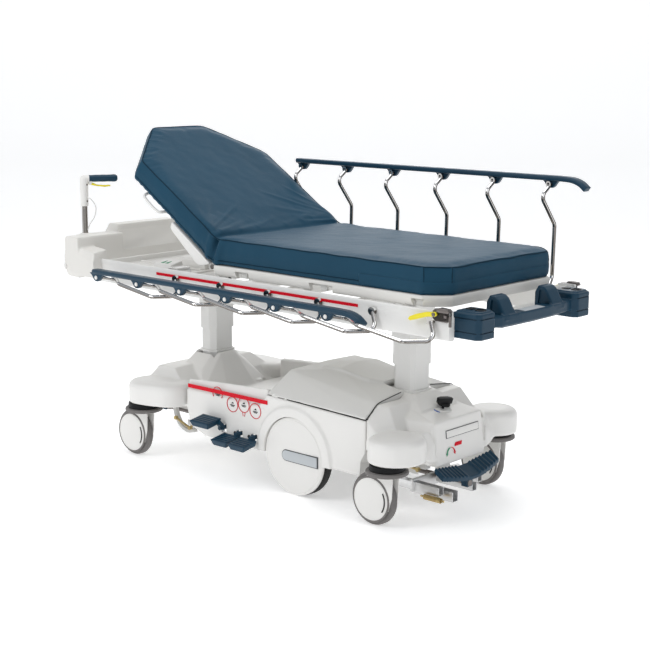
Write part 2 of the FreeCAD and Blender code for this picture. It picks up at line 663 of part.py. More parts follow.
HOUSING_FACE, HOUSING_NOTCH = -1003.0, -1026.0
HANDLE_X, HANDLE_Y, HANDLE_TOP = -1076.0, 320.0, 1176.0
GRIP_DIRECTION = V(0.52, 0.854, 0)


def push_handle():
    """Right-hand push handle: post, sleeve and inward-pointing grip."""
    foot, top = V(HANDLE_X, -HANDLE_Y, 850), V(HANDLE_X, -HANDLE_Y, HANDLE_TOP)
    collar = rod(18, V(HANDLE_X, -HANDLE_Y, 938.5), V(HANDLE_X, -HANDLE_Y, 948))
    post = rod(13, foot, top)
    sleeve = rod(17, V(HANDLE_X, -HANDLE_Y, 1060), top)
    elbow = Part.makeSphere(18, top)
    grip = rod(15, top, top + GRIP_DIRECTION * 132)
    end = Part.makeSphere(15, top + GRIP_DIRECTION * 132)
    handle = join(post, collar, sleeve, elbow, grip, end)
    pin_at = top + GRIP_DIRECTION * 26 + V(0, 0, -21)
    cross = V(GRIP_DIRECTION.y, -GRIP_DIRECTION.x, 0)
    ears = []
    for offset in (-9, 6):
        lug = rod(7, pin_at + cross * offset, pin_at + cross * (offset + 3))
        web = rod(7, pin_at + cross * offset + V(0, 0, 10), pin_at + cross * (offset + 3) + V(0, 0, 10))
        ears += [lug, web]
    pin = rod(2.5, pin_at - cross * 8, pin_at + cross * 8)
    return join(handle, *ears, pin)


def push_trigger():
    """Yellow squeeze lever below the right-hand grip."""
    top = V(HANDLE_X, -HANDLE_Y, HANDLE_TOP)
    pin_at = top + GRIP_DIRECTION * 26 + V(0, 0, -21)
    cross = V(GRIP_DIRECTION.y, -GRIP_DIRECTION.x, 0)
    outline = [(-5, -5), (60, -16), (86, -14), (86, -9), (60, -10), (4, 4), (-5, 4)]
    points = [pin_at + GRIP_DIRECTION * s + V(0, 0, z) - cross * 5.5 for s, z in outline]
    lever = plate(points, 1.5, cross * 11)
    return lever.cut(rod(2.5 + RUNNING_GAP, pin_at - cross * 10, pin_at + cross * 10))


def foot_bumper():
    """Blue foot-end bumper: corner blocks with pole sockets, a front bar and two hooked horns."""
    parts = []
    bar = plan_plate([(1000, -300), (1078, -300), (HALF_LENGTH - 12, -200), (HALF_LENGTH - 12, 200),
                      (1078, 300),
                      (1000, 300), (1000, 200), (1044, 180), (1044, -180), (1000, -200)], 18, 770, 826)
    parts.append(bar)
    for side in (-1, 1):
        y0, y1 = sorted((side * 244, side * 350))
        corner = plan_plate([(987, y0), (1092, y0), (HALF_LENGTH, y0 + 16), (HALF_LENGTH, y1 - 16),
                             (1092, y1), (987, y1)],
                            16, 756, 845)
        parts.append(corner)
        horn = side_plate([(987, 800), (1060, 806), (1030, 850), (1012, 880), (987, 880)], 8,
                          *sorted((side * 110, side * 190)))
        parts.append(horn)
        parts.append(box(987, 1060, *sorted((side * 110, side * 190)), 790, 826))
    bumper = join(*parts)
    for side in (-1, 1):
        bumper = bumper.cut(rod(SOCKET_R, V(SOCKET_X, side * SOCKET_Y, 776),
                                V(SOCKET_X, side * SOCKET_Y, 860)))
    return bumper


SOCKET_X, SOCKET_Y, SOCKET_R = 1056.0, 300.0, 13.0


# ---- side rails -----------------------------------------------------------------------------------
def rail_post():
    """One left-hand rail post, raised, with its pivot axle at x = z = 0."""
    points = [V(-82, 440, 400), V(-86, 396, 366), V(-72, 474, 252), V(-76, 474, 44), V(-62, 404, -40),
              V(-2, 392, -4)]
    shaft = bent_tube(points, 34, POST_R)
    eye_x, eye_y, eye_z = POST_EYE
    eye = across(11, eye_x, eye_z, 434, 448)
    boss = across(15, 0, 0, 383, 396)
    axle = across(POST_AXLE_R, 0, 0, 344, 386)
    return join(shaft, eye, boss, axle).cut(across(RAIL_PIN_R + RUNNING_GAP, eye_x, eye_z, 420, 460))


def rail_bar():
    """Left-hand blue rail over its six posts, raised, at foot post pivot x = z = 0."""
    eye_x, eye_y, eye_z = POST_EYE
    foot = eye_x + 172
    head = eye_x - (POST_COUNT - 1) * POST_SPACING - 28
    spine = [(head, eye_z + 14), (eye_x + 60, eye_z + 14), (foot - 30, eye_z + 4), (foot, eye_z - 22),
             (foot + 2, eye_z - 8), (foot - 22, eye_z + 20), (eye_x + 62, eye_z + 32), (head, eye_z + 32)]
    parts = [side_plate(spine, 6, RAIL_LOW_Y, RAIL_HIGH_Y)]
    for i in range(POST_COUNT):
        x = eye_x - i * POST_SPACING
        tab = [(x - 44, eye_z + 16), (x - 12, eye_z - 14), (x + 12, eye_z - 14), (x + 44, eye_z + 16)]
        parts.append(side_plate(tab, 9, 450, RAIL_HIGH_Y - 3))
        parts.append(across(RAIL_PIN_R, x, eye_z, 433, 452))
    return join(*parts)


def side_rails():
    """Both rails with their posts: the left pair raised, the right pair lowered towards the head end."""
    post = rail_post()
    bar = rail_bar()
    bar.translate(V(POST_FOOT_X, 0, RAIL_PIVOT_Z))
    save("rail_left", bar)
    lowered_post = turned(post, -RAIL_SWING, 0, 0)
    eye = V(POST_EYE[0], 0, POST_EYE[2])
    low_eye = turned(Part.Vertex(eye), -RAIL_SWING, 0, 0).Point
    low_bar = mirrored(bar)
    low_bar.translate(low_eye - eye)
    save("rail_right", low_bar)
    for i, x in enumerate(reversed(rail_pivots())):
        for side, shape in (("left", post), ("right", mirrored(lowered_post))):
            placed = shape.copy()
            placed.translate(V(x, 0, RAIL_PIVOT_Z))
            save("rail_post_%s_%d" % (side, i + 1), placed)


def rail_latch():
    """Right-hand yellow latch lever."""
    lever = side_plate([(824, 808), (832, 806), (920, 824), (946, 828), (946, 848), (920, 846), (826, 818)],
                       4, -408, -400)
    return lever.cut(across(4 + RUNNING_GAP, 938, 838, -420, -390))


# ---- write every sub-part -------------------------------------------------------------------------
casters()
columns()
drive_wheel()
foot_pedals()
gas_struts()
side_rails()
save("base_frame", base_frame())
save("head_hood", head_hood())
save("drive_housing", drive_housing())
save("drive_lid", drive_lid())
save("foot_hood", foot_hood())
save("drive_unit", drive_unit())
save("brake_pedals", brake_pedals())
save("selector_knob", selector_knob())
save("pivot_bushes", pivot_bushes())
save("litter_frame", litter_frame())
save("litter_deck", litter_deck())
save("seat_mattress", mattress("seat"))
save("backrest_mattress", raised(mattress("back")))
save("backrest_panel", backrest_panel())
save("head_housing", head_housing())
save("foot_bumper", foot_bumper())
for side, place in (("right", lambda s: s), ("left", mirrored)):
    save("push_handle_" + side, place(push_handle()))
    save("push_trigger_" + side, place(push_trigger()))
    save("rail_latch_" + side, place(rail_latch()))
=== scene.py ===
"""Looks of the stretcher trolley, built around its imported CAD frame.

Metres. +X points to the foot end, +Y to the patient's left, +Z up, floor at z = 0.
"""
import json
import math
import random

import bmesh
import bpy
from mathutils import Matrix, Vector, noise
from mathutils.bvhtree import BVHTree


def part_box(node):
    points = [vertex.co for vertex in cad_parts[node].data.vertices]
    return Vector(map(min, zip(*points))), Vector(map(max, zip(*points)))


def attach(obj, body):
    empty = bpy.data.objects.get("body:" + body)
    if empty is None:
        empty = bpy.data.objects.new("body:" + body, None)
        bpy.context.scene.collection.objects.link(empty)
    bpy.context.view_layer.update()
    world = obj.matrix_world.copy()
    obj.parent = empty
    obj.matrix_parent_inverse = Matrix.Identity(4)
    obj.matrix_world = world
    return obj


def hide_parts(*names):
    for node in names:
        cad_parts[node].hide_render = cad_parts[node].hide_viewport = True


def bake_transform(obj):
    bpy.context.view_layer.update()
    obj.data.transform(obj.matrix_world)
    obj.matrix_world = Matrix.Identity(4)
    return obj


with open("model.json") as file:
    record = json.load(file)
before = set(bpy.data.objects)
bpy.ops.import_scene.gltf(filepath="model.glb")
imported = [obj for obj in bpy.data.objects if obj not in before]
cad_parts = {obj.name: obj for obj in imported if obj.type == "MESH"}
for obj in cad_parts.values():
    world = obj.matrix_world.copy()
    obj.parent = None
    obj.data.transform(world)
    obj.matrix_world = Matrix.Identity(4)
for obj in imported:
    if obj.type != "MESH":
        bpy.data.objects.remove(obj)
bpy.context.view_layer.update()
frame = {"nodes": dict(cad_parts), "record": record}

MM = 0.001
SIDES = (-1, 1)
random.seed(7)

# The frame's axes and angles, in millimetres and radians
HEAD_X, FOOT_X = -577, 520
WHEEL_X, WHEEL_Z = 175, 160
CASTOR_X, CASTOR_Y, CASTOR_Z, CASTOR_TRAIL = 682, 336, 100, 58
PEDAL_SHAFTS = ((-222, 206), (-128, 196), (-44, 196))
BRAKE_Z = 120
HANDLE_X, HANDLE_Y = -1076, 320
SOCKET_X, SOCKET_Y = 1056, 300
POST_X, POST_Z, POST_PITCH, POST_COUNT = 911, 812, 262.8, 6
EYE_X, EYE_Z = -82, 411
RAIL_SWING = math.radians(82.9)
HINGE_X, HINGE_Z = -222, 877
RAISE = math.radians(33.6)
MITRE = RAISE / 2
STUFFING_FRAMES = 20


# ---- mesh helpers: lengths in millimetres, meshes in metres ---------------------------------------
def new_object(name, mesh):
    piece = bpy.data.objects.new(name, mesh)
    bpy.context.scene.collection.objects.link(piece)
    return piece


def from_bmesh(name, bm):
    bmesh.ops.recalc_face_normals(bm, faces=bm.faces)
    mesh = bpy.data.meshes.new(name)
    bm.to_mesh(mesh)
    bm.free()
    return new_object(name, mesh)


def from_faces(name, points, faces):
    bm = bmesh.new()
    verts = [bm.verts.new(Vector(p) * MM) for p in points]
    for face in faces:
        bm.faces.new([verts[i] for i in face])
    return from_bmesh(name, bm)


def hull(name, points):
    """The smallest convex block that holds the points."""
    bm = bmesh.new()
    for p in points:
        bm.verts.new(Vector(p) * MM)
    bmesh.ops.convex_hull(bm, input=bm.verts)
    loose = [v for v in bm.verts if not v.link_faces]
    bmesh.ops.delete(bm, geom=loose, context="VERTS")
    bmesh.ops.dissolve_limit(bm, angle_limit=0.01, verts=bm.verts, edges=bm.edges)
    return from_bmesh(name, bm)


def block(name, x0, x1, y0, y1, z0, z1):
    return hull(name, [(x, y, z) for x in (x0, x1) for y in (y0, y1) for z in (z0, z1)])


def span(side, near, far):
    """Two y values on one side of the trolley, lowest first."""
    return sorted((side * near, side * far))


def slab(name, points):
    """A closed slab between two like outlines, given one after the other."""
    count = len(points) // 2
    faces = [tuple(range(count)), tuple(range(2 * count - 1, count - 1, -1))]
    faces += [(i, (i + 1) % count, (i + 1) % count + count, i + count) for i in range(count)]
    return from_faces(name, points, faces)


def prism(name, outline, axis, low, high):
    """An outline pushed along one axis; it is given in the other two, in x, y, z order."""
    places = {"x": lambda a, b, t: (t, a, b), "y": lambda a, b, t: (a, t, b),
              "z": lambda a, b, t: (a, b, t)}[axis]
    return slab(name, [places(a, b, t) for t in (low, high) for a, b in outline])


def turned(name, profile, centre, axis, steps=64):
    """A solid of revolution: profile pairs are (radius, distance along the axis)."""
    along = Vector(axis).normalized()
    side = along.orthogonal().normalized()
    other = along.cross(side)
    centre = Vector(centre)
    bm = bmesh.new()
    rings = []
    for radius, distance in profile:
        at = centre + along * distance
        if radius < 1e-6:
            rings.append([bm.verts.new(at * MM)])
            continue
        ring = []
        for i in range(steps):
            angle = 2 * math.pi * i / steps
            ring.append(bm.verts.new((at + (side * math.cos(angle) + other * math.sin(angle)) * radius) * MM))
        rings.append(ring)
    closed_loop = profile[0][0] > 1e-6 and profile[-1][0] > 1e-6
    pairs = list(zip(rings, rings[1:])) + ([(rings[-1], rings[0])] if closed_loop else [])
    for a, b in pairs:
        for i in range(steps):
            j = (i + 1) % steps
            if len(a) == 1 and len(b) == 1:
                continue
            if len(a) == 1:
                bm.faces.new((a[0], b[j], b[i]))
            elif len(b) == 1:
                bm.faces.new((a[i], a[j], b[0]))
            else:
                bm.faces.new((a[i], a[j], b[j], b[i]))
    return from_bmesh(name, bm)


def smooth_path(points, closed=False, steps=8):
    """A Catmull-Rom curve through the points."""
    points = [Vector(p) for p in points]
    count = len(points)
    path = []
    for i in range(count if closed else count - 1):
        a = points[(i - 1) % count] if closed or i > 0 else points[0] * 2 - points[1]
        b, c = points[i], points[(i + 1) % count]
        d = points[(i + 2) % count] if closed or i + 2 < count else points[-1] * 2 - points[-2]
        for k in range(steps):
            t = k / steps
            path.append(0.5 * ((2 * b) + (c - a) * t + (2 * a - 5 * b + 4 * c - d) * t * t
                               + (3 * b - a - 3 * c + d) * t ** 3))
    if not closed:
        path.append(points[-1])
    return path


def swept(name, path, section, closed=False, up=(0, 0, 1)):
    """A closed section, in (side, up) pairs, carried along a path."""
    path = [Vector(p) for p in path]
    count = len(path)
    bm = bmesh.new()
    rings = []
    for i, p in enumerate(path):
        before = path[(i - 1) % count] if closed or i > 0 else p
        after = path[(i + 1) % count] if closed or i < count - 1 else p
        along = (after - before).normalized()
        side = along.cross(Vector(up))
        side = side.normalized() if side.length > 1e-4 else along.orthogonal().normalized()
        lift = side.cross(along)
        rings.append([bm.verts.new((p + side * a + lift * b) * MM) for a, b in section])
    size = len(section)
    pairs = list(zip(rings, rings[1:])) + ([(rings[-1], rings[0])] if closed else [])
    for a, b in pairs:
        for i in range(size):
            j = (i + 1) % size
            bm.faces.new((a[i], a[j], b[j], b[i]))
    if not closed:
        bm.faces.new(rings[0])
        bm.faces.new(rings[-1])
    return from_bmesh(name, bm)


def flat_section(half_width, half_height):
    """A rectangular section for swept()."""
    return [(-half_width, -half_height), (half_width, -half_height), (half_width, half_height),
            (-half_width, half_height)]


def ring_section(radius, steps=12):
    """A round section for swept()."""
    return [(radius * math.cos(2 * math.pi * i / steps), radius * math.sin(2 * math.pi * i / steps))
            for i in range(steps)]


def round_rod(name, start, end, radius, steps=24, edge=0.6):
    """A round bar between two points, its ends eased."""
    length = (Vector(end) - Vector(start)).length
    edge = min(edge, length * 0.4, radius * 0.5)
    profile = [(0, 0), (radius - edge, 0), (radius, edge), (radius, length - edge), (radius - edge, length),
               (0, length)]
    return turned(name, profile, start, Vector(end) - Vector(start), steps)


def mirrored(name, piece):
    """A copy on the other side of the middle plane."""
    mesh = piece.data.copy()
    mesh.transform(Matrix.Scale(-1, 4, Vector((0, 1, 0))))
    mesh.flip_normals()
    return new_object(name, mesh)


def apply_modifiers(piece):
    graph = bpy.context.evaluated_depsgraph_get()
    graph.update()
    mesh = bpy.data.meshes.new_from_object(piece.evaluated_get(graph))
    piece.modifiers.clear()
    old = piece.data
    piece.data = mesh
    bpy.data.meshes.remove(old)
    return piece


def joined(name, pieces):
    """All pieces in one mesh; their volumes may overlap."""
    bm = bmesh.new()
    for piece in pieces:
        bm.from_mesh(piece.data)
    for piece in pieces:
        mesh = piece.data
        bpy.data.objects.remove(piece)
        bpy.data.meshes.remove(mesh)
    mesh = bpy.data.meshes.new(name)
    bm.to_mesh(mesh)
    bm.free()
    return new_object(name, mesh)


def boolean(piece, others, operation="DIFFERENCE"):
    for other in others:
        modifier = piece.modifiers.new("cut", "BOOLEAN")
        modifier.operation = operation
        modifier.solver = "EXACT"
        modifier.object = other
        apply_modifiers(piece)
        mesh = other.data
        bpy.data.objects.remove(other)
        bpy.data.meshes.remove(mesh)
    return piece


def softened(piece, voxel=4.0, passes=6):
    """One closed skin around overlapping blocks, with every edge rounded like a moulding's."""
    modifier = piece.modifiers.new("skin", "REMESH")
    modifier.mode = "VOXEL"
    modifier.voxel_size = voxel * MM
    if passes:
        smooth = piece.modifiers.new("smooth", "SMOOTH")
        smooth.iterations = passes
        smooth.factor = 0.6
    apply_modifiers(piece)
    return shaded(piece, None)


def bevelled(piece, width, segments=3, angle=30):
    modifier = piece.modifiers.new("edges", "BEVEL")
    modifier.width = width * MM
    modifier.segments = segments
    modifier.limit_method = "ANGLE"
    modifier.angle_limit = math.radians(angle)
    modifier.use_clamp_overlap = True
    modifier.harden_normals = False
    return piece


def bevelled_now(piece, width, segments=3):
    return apply_modifiers(bevelled(piece, width, segments))


def shaded(piece, angle=40):
    """Smooth shading, with edges sharper than the angle kept crisp; None smooths everything."""
    for polygon in piece.data.polygons:
        polygon.use_smooth = True
    if angle is not None:
        piece.data.set_sharp_from_angle(angle=math.radians(angle))
    return piece


def finished(piece, body, material, replaces=(), bevel=None, angle=35):
    """Last step of every piece: edges, shading, material, and the body it rides on."""
    if bevel:
        bevelled(piece, bevel)
        apply_modifiers(piece)
    shaded(piece, angle)
    piece.data.materials.clear()
    piece.data.materials.append(material)
    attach(piece, body)
    if replaces:
        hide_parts(*replaces)
    return piece


# ---- materials ------------------------------------------------------------------------------------
def shader(name):
    """A new material: its shader, object coordinates and a node maker."""
    material = bpy.data.materials.new(name)
    material.use_nodes = True
    nodes, links = material.node_tree.nodes, material.node_tree.links
    principled = nodes["Principled BSDF"]
    coordinates = nodes.new("ShaderNodeTexCoord")

    def node(kind, **inputs):
        made = nodes.new(kind)
        for key, value in inputs.items():
            if key in ("operation", "blend_type", "data_type", "wave_type", "bands_direction",
                       "noise_dimensions", "feature", "distance"):
                setattr(made, key, value)
            else:
                made.inputs[key.replace("_", " ")].default_value = value
        return made

    return material, principled, coordinates, node, links


def set_inputs(target, **values):
    """Sets a shader node's inputs by name, with underscores for spaces."""
    for key, value in values.items():
        target.inputs[key.replace("_", " ")].default_value = value


def mix_colors(node, links, factor, low, high):
    ramp = node("ShaderNodeMix", data_type="RGBA")
    links.new(factor, ramp.inputs[0])
    ramp.inputs[6].default_value = (*low, 1)
    ramp.inputs[7].default_value = (*high, 1)
    return ramp.outputs[2]


def moulded(name, color, roughness=0.42, grain=0.12, grain_size=0.0012, drift=0.035, wear=0.06, coat=0.0,
            shine=0.5):
    """Moulded plastic or powder coat: fine grain, slow colour drift, and scuffs that change the gloss."""
    material, principled, coordinates, node, links = shader(name)
    fine = node("ShaderNodeTexNoise", Scale=1 / grain_size / 2, Detail=3.0, Roughness=0.6)
    slow = node("ShaderNodeTexNoise", Scale=2.4, Detail=3.0, Roughness=0.5)
    scuff = node("ShaderNodeTexNoise", Scale=38.0, Detail=6.0, Roughness=0.72, Distortion=0.6)
    for texture in (fine, slow, scuff):
        links.new(coordinates.outputs["Object"], texture.inputs["Vector"])
    dark = [c * (1 - drift) for c in color]
    light = [min(1, c * (1 + drift)) for c in color]
    links.new(mix_colors(node, links, slow.outputs["Fac"], dark, light), principled.inputs["Base Color"])
    gloss = node("ShaderNodeMapRange")
    set_inputs(gloss, From_Min=0.42, From_Max=0.75, To_Min=roughness, To_Max=min(1, roughness + wear * 2))
    links.new(scuff.outputs["Fac"], gloss.inputs["Value"])
    links.new(gloss.outputs["Result"], principled.inputs["Roughness"])
    bump = node("ShaderNodeBump", Strength=grain, Distance=0.0006)
    links.new(fine.outputs["Fac"], bump.inputs["Height"])
    links.new(bump.outputs["Normal"], principled.inputs["Normal"])
    set_inputs(principled, Specular_IOR_Level=shine, Coat_Weight=coat, Coat_Roughness=0.2)
    return material


def polished(name, color, roughness=0.1, brushed=0.0):
    """Bright metal with faint streaks and fingerprints in its gloss."""
    material, principled, coordinates, node, links = shader(name)
    set_inputs(principled, Metallic=1.0, Base_Color=(*color, 1))
    smear = node("ShaderNodeTexNoise", Scale=26.0, Detail=5.0, Roughness=0.65)
    streak = node("ShaderNodeTexNoise", Scale=420.0, Detail=2.0)
    links.new(coordinates.outputs["Object"], smear.inputs["Vector"])
    links.new(coordinates.outputs["Object"], streak.inputs["Vector"])
    gloss = node("ShaderNodeMapRange")
    set_inputs(gloss, From_Min=0.35, From_Max=0.8, To_Min=roughness, To_Max=roughness + 0.12 + brushed)
    links.new(smear.outputs["Fac"], gloss.inputs["Value"])
    links.new(gloss.outputs["Result"], principled.inputs["Roughness"])
    bump = node("ShaderNodeBump", Strength=0.04 + brushed, Distance=0.0002)
    links.new(streak.outputs["Fac"], bump.inputs["Height"])
    links.new(bump.outputs["Normal"], principled.inputs["Normal"])
    return material


def chrome_painted_reflection(name):
    """Chrome with a room's reflection painted into its base colour: a bright ceiling, darker walls and
    furniture, following the reflection direction.
    """
    material = polished(name, (0.7, 0.7, 0.7), 0.07)
    nodes, links = material.node_tree.nodes, material.node_tree.links
    coordinates = nodes.new("ShaderNodeTexCoord")
    # Painted reflection: noise and the height of the reflection direction choose dark or bright base colour.
    painted_room_noise = nodes.new("ShaderNodeTexNoise")
    set_inputs(painted_room_noise, Scale=1.9, Detail=1.0)
    links.new(coordinates.outputs["Reflection"], painted_room_noise.inputs["Vector"])
    split = nodes.new("ShaderNodeSeparateXYZ")
    links.new(coordinates.outputs["Reflection"], split.inputs[0])
    height = nodes.new("ShaderNodeMath")
    height.operation = "MULTIPLY_ADD"
    height.inputs[1].default_value = 0.16
    links.new(split.outputs["Z"], height.inputs[0])
    links.new(painted_room_noise.outputs["Fac"], height.inputs[2])
    # Colour stops of the painted reflection, dark below the horizon and white above it.
    ramp = nodes.new("ShaderNodeValToRGB")
    painted_reflection_stops = [(0.30, (0.10, 0.085, 0.075)), (0.44, (0.24, 0.22, 0.20)), (0.52, (0.70, 0.69, 0.67)),
              (0.66, (0.92, 0.92, 0.92))]
    for place, shade in painted_reflection_stops[1:-1]:
        ramp.color_ramp.elements.new(place).color = (*shade, 1)
    for index in (0, -1):
        ramp.color_ramp.elements[index].position = painted_reflection_stops[index][0]
        ramp.color_ramp.elements[index].color = (*painted_reflection_stops[index][1], 1)
    links.new(height.outputs[0], ramp.inputs["Fac"])
    links.new(ramp.outputs["Color"], nodes["Principled BSDF"].inputs["Base Color"])
    return material


def plated(name):
    """Yellow-zinc plated steel, whose colour drifts from gold to olive and pink."""
    material, principled, coordinates, node, links = shader(name)
    set_inputs(principled, Metallic=0.9)
    tone = node("ShaderNodeTexNoise", Scale=60.0, Detail=3.0, Roughness=0.6)
    links.new(coordinates.outputs["Object"], tone.inputs["Vector"])
    links.new(mix_colors(node, links, tone.outputs["Fac"], (0.36, 0.20, 0.10), (0.78, 0.66, 0.30)),
              principled.inputs["Base Color"])
    set_inputs(principled, Roughness=0.34)
    bump = node("ShaderNodeBump", Strength=0.15, Distance=0.0005)
    links.new(tone.outputs["Fac"], bump.inputs["Height"])
    links.new(bump.outputs["Normal"], principled.inputs["Normal"])
    return material


def cover_fabric(name, color):
    """Wipe-clean stretch cover: a fine knit under a soft coating, with small creases."""
    material, principled, coordinates, node, links = shader(name)
    mapped = coordinates.outputs["Object"]
    across = node("ShaderNodeTexWave", wave_type="BANDS", bands_direction="X", Scale=420.0, Distortion=0.4)
    along = node("ShaderNodeTexWave", wave_type="BANDS", bands_direction="Y", Scale=420.0, Distortion=0.4)
    upward = node("ShaderNodeTexWave", wave_type="BANDS", bands_direction="Z", Scale=420.0, Distortion=0.4)
    crease = node("ShaderNodeTexNoise", Scale=9.0, Detail=5.0, Roughness=0.55, Distortion=0.8)
    cloud = node("ShaderNodeTexNoise", Scale=3.0, Detail=4.0, Roughness=0.6)
    for texture in (across, along, upward, crease, cloud):
        links.new(mapped, texture.inputs["Vector"])
    weave = node("ShaderNodeMath", operation="MULTIPLY")
    links.new(across.outputs["Fac"], weave.inputs[0])
    links.new(along.outputs["Fac"], weave.inputs[1])
    knit = node("ShaderNodeMath", operation="ADD")
    links.new(weave.outputs[0], knit.inputs[0])
    links.new(upward.outputs["Fac"], knit.inputs[1])
    dark = [c * 0.86 for c in color]
    light = [c * 1.14 for c in color]
    links.new(mix_colors(node, links, cloud.outputs["Fac"], dark, light), principled.inputs["Base Color"])
    set_inputs(principled, Roughness=0.52, Specular_IOR_Level=0.14, Sheen_Weight=0.05, Sheen_Roughness=0.4,
               Sheen_Tint=(0.45, 0.62, 0.75, 1))
    fine = node("ShaderNodeBump", Strength=0.12, Distance=0.0004)
    links.new(knit.outputs[0], fine.inputs["Height"])
    large = node("ShaderNodeBump", Strength=0.16, Distance=0.006)
    links.new(crease.outputs["Fac"], large.inputs["Height"])
    links.new(fine.outputs["Normal"], large.inputs["Normal"])
    links.new(large.outputs["Normal"], principled.inputs["Normal"])
    return material


WHITE = moulded("white_moulding", (0.80, 0.79, 0.765), 0.36, grain=0.10)
WARM = moulded("warm_moulding", (0.74, 0.725, 0.69), 0.45, grain=0.22)
GREY = moulded("grey_moulding", (0.735, 0.73, 0.705), 0.5, grain=0.3)
PAINT = moulded("white_paint", (0.79, 0.785, 0.765), 0.33, grain=0.2, grain_size=0.0022, coat=0.15)
BLUE = moulded("blue_moulding", (0.007, 0.040, 0.074), 0.34, grain=0.35, grain_size=0.0016, drift=0.1,
               shine=0.28)
NAVY = cover_fabric("mattress_cover", (0.010, 0.056, 0.100))
SEAM = moulded("mattress_seam", (0.005, 0.026, 0.046), 0.7, grain=0.5, grain_size=0.001, shine=0.1)
RED = moulded("red_stripe", (0.66, 0.004, 0.018), 0.42, grain=0.06, shine=0.15)
YELLOW = moulded("yellow_lever", (0.86, 0.74, 0.02), 0.33, grain=0.08)
BLACK = moulded("black_plastic", (0.008, 0.008, 0.009), 0.45, grain=0.25, shine=0.2)
RUBBER = moulded("grey_tread", (0.165, 0.155, 0.15), 0.62, grain=0.4, grain_size=0.002)
TYRE = moulded("black_tread", (0.012, 0.012, 0.012), 0.72, grain=0.6, grain_size=0.003)
CHROME = chrome_painted_reflection("chrome")
STEEL = polished("dull_steel", (0.20, 0.18, 0.17), 0.34, brushed=0.1)
ALUMINIUM = polished("aluminium", (0.74, 0.74, 0.74), 0.28, brushed=0.12)
BRASS = plated("zinc_yellow")
LABEL = moulded("label_grey", (0.50, 0.53, 0.55), 0.35, grain=0.05)
LABEL_EDGE = moulded("label_edge", (0.06, 0.065, 0.07), 0.4, grain=0.05)
GREEN = moulded("green_mark", (0.03, 0.30, 0.14), 0.4, grain=0.05)
MARK_BLUE = moulded("blue_mark", (0.02, 0.10, 0.42), 0.4, grain=0.05)


EASED = {"base_frame": 2.0, "column_collars": 1.6, "litter_frame": 2.0, "drive_unit": 2.0}
EASED.update({"%s_%s" % (end, part): 1.6 for end in ("head", "foot")
              for part in ("sleeve_lower", "sleeve_upper", "column_top")})


def paint_cad_nodes():
    """Every carried-over CAD node gets its finish; the nodes listed in EASED also get softened edges."""
    finishes = {"white_moulding": WHITE, "grey_lid": WARM, "column_paint": PAINT, "frame_paint": PAINT,
                "deck_plastic": WARM, "mattress_cover": NAVY, "motor_black": BLACK, "caster_white": WHITE,
                "caster_tyre": RUBBER, "hub_white": WHITE, "drive_tyre": TYRE, "blue_moulding": BLUE,
                "black_knob": BLACK, "bush_brass": BRASS, "chrome_tube": CHROME, "strut_black": BLACK,
                "handle_white": WHITE, "yellow_lever": YELLOW}
    for entry in frame["record"]["subparts"]:
        node = frame["nodes"][entry["node"]]
        for material_slot in node.material_slots:
            material_slot.material = finishes[entry["material_slot"]]
        if entry["node"] in EASED:
            bevelled(node, EASED[entry["node"]], 2, 35)


paint_cad_nodes()


# ---- stage, light, camera -------------------------------------------------------------------------
def studio():
    """Paper floor with a cove behind the trolley, a pale surround and four soft lamps."""
    floor_mesh = bpy.data.meshes.new("floor")
    bm = bmesh.new()
    rows = []
    for y, z in [(-14, 0), (7, 0), (8.2, 0.12), (9.2, 0.6), (9.8, 1.5), (10, 3), (10, 12)]:
        rows.append([bm.verts.new((x, y, z)) for x in (-18, 18)])
    for a, b in zip(rows, rows[1:]):
        bm.faces.new((a[0], a[1], b[1], b[0]))
    bm.to_mesh(floor_mesh)
    bm.free()
    floor = new_object("floor", floor_mesh)
    floor.matrix_world = Matrix.Rotation(math.radians(42.4), 4, "Z")
    shaded(floor, None)
    material, principled = shader("floor_paper")[:2]
    set_inputs(principled, Base_Color=(0.93, 0.93, 0.925, 1), Roughness=0.85, Emission_Color=(1, 1, 1, 1),
               Emission_Strength=0.40)
    floor.data.materials.append(material)
    world = bpy.data.worlds.new("studio")
    world.use_nodes = True
    set_inputs(world.node_tree.nodes["Background"], Color=(0.93, 0.955, 1.0, 1))
    nodes, links = world.node_tree.nodes, world.node_tree.links
    # The surround lights the trolley softly and looks brighter than it lights.
    glow, extra = 0.44, 0.52
    seen = nodes.new("ShaderNodeLightPath")
    strength = nodes.new("ShaderNodeMath")
    strength.operation = "MULTIPLY_ADD"
    strength.inputs[1].default_value = extra
    strength.inputs[2].default_value = glow
    links.new(seen.outputs["Is Camera Ray"], strength.inputs[0])
    links.new(strength.outputs[0], nodes["Background"].inputs["Strength"])
    bpy.context.scene.world = world
    lamps = [("key", (-1.6, -4.2, 3.6), 2.4, 84), ("fill", (4.6, -1.2, 2.6), 2.4, 22),
             ("top", (0.2, 0.3, 4.6), 3.4, 72), ("back", (-3.0, 4.0, 3.0), 3.0, 40)]
    for name, place, size, power in lamps:
        light = bpy.data.lights.new(name, "AREA")
        light.shape = "SQUARE"
        light.size = size
        light.energy = power
        lamp = bpy.data.objects.new(name, light)
        lamp.location = place
        lamp.rotation_euler = (Vector((0, 0, 0.7)) - Vector(place)).to_track_quat("-Z", "Y").to_euler()
        bpy.context.scene.collection.objects.link(lamp)


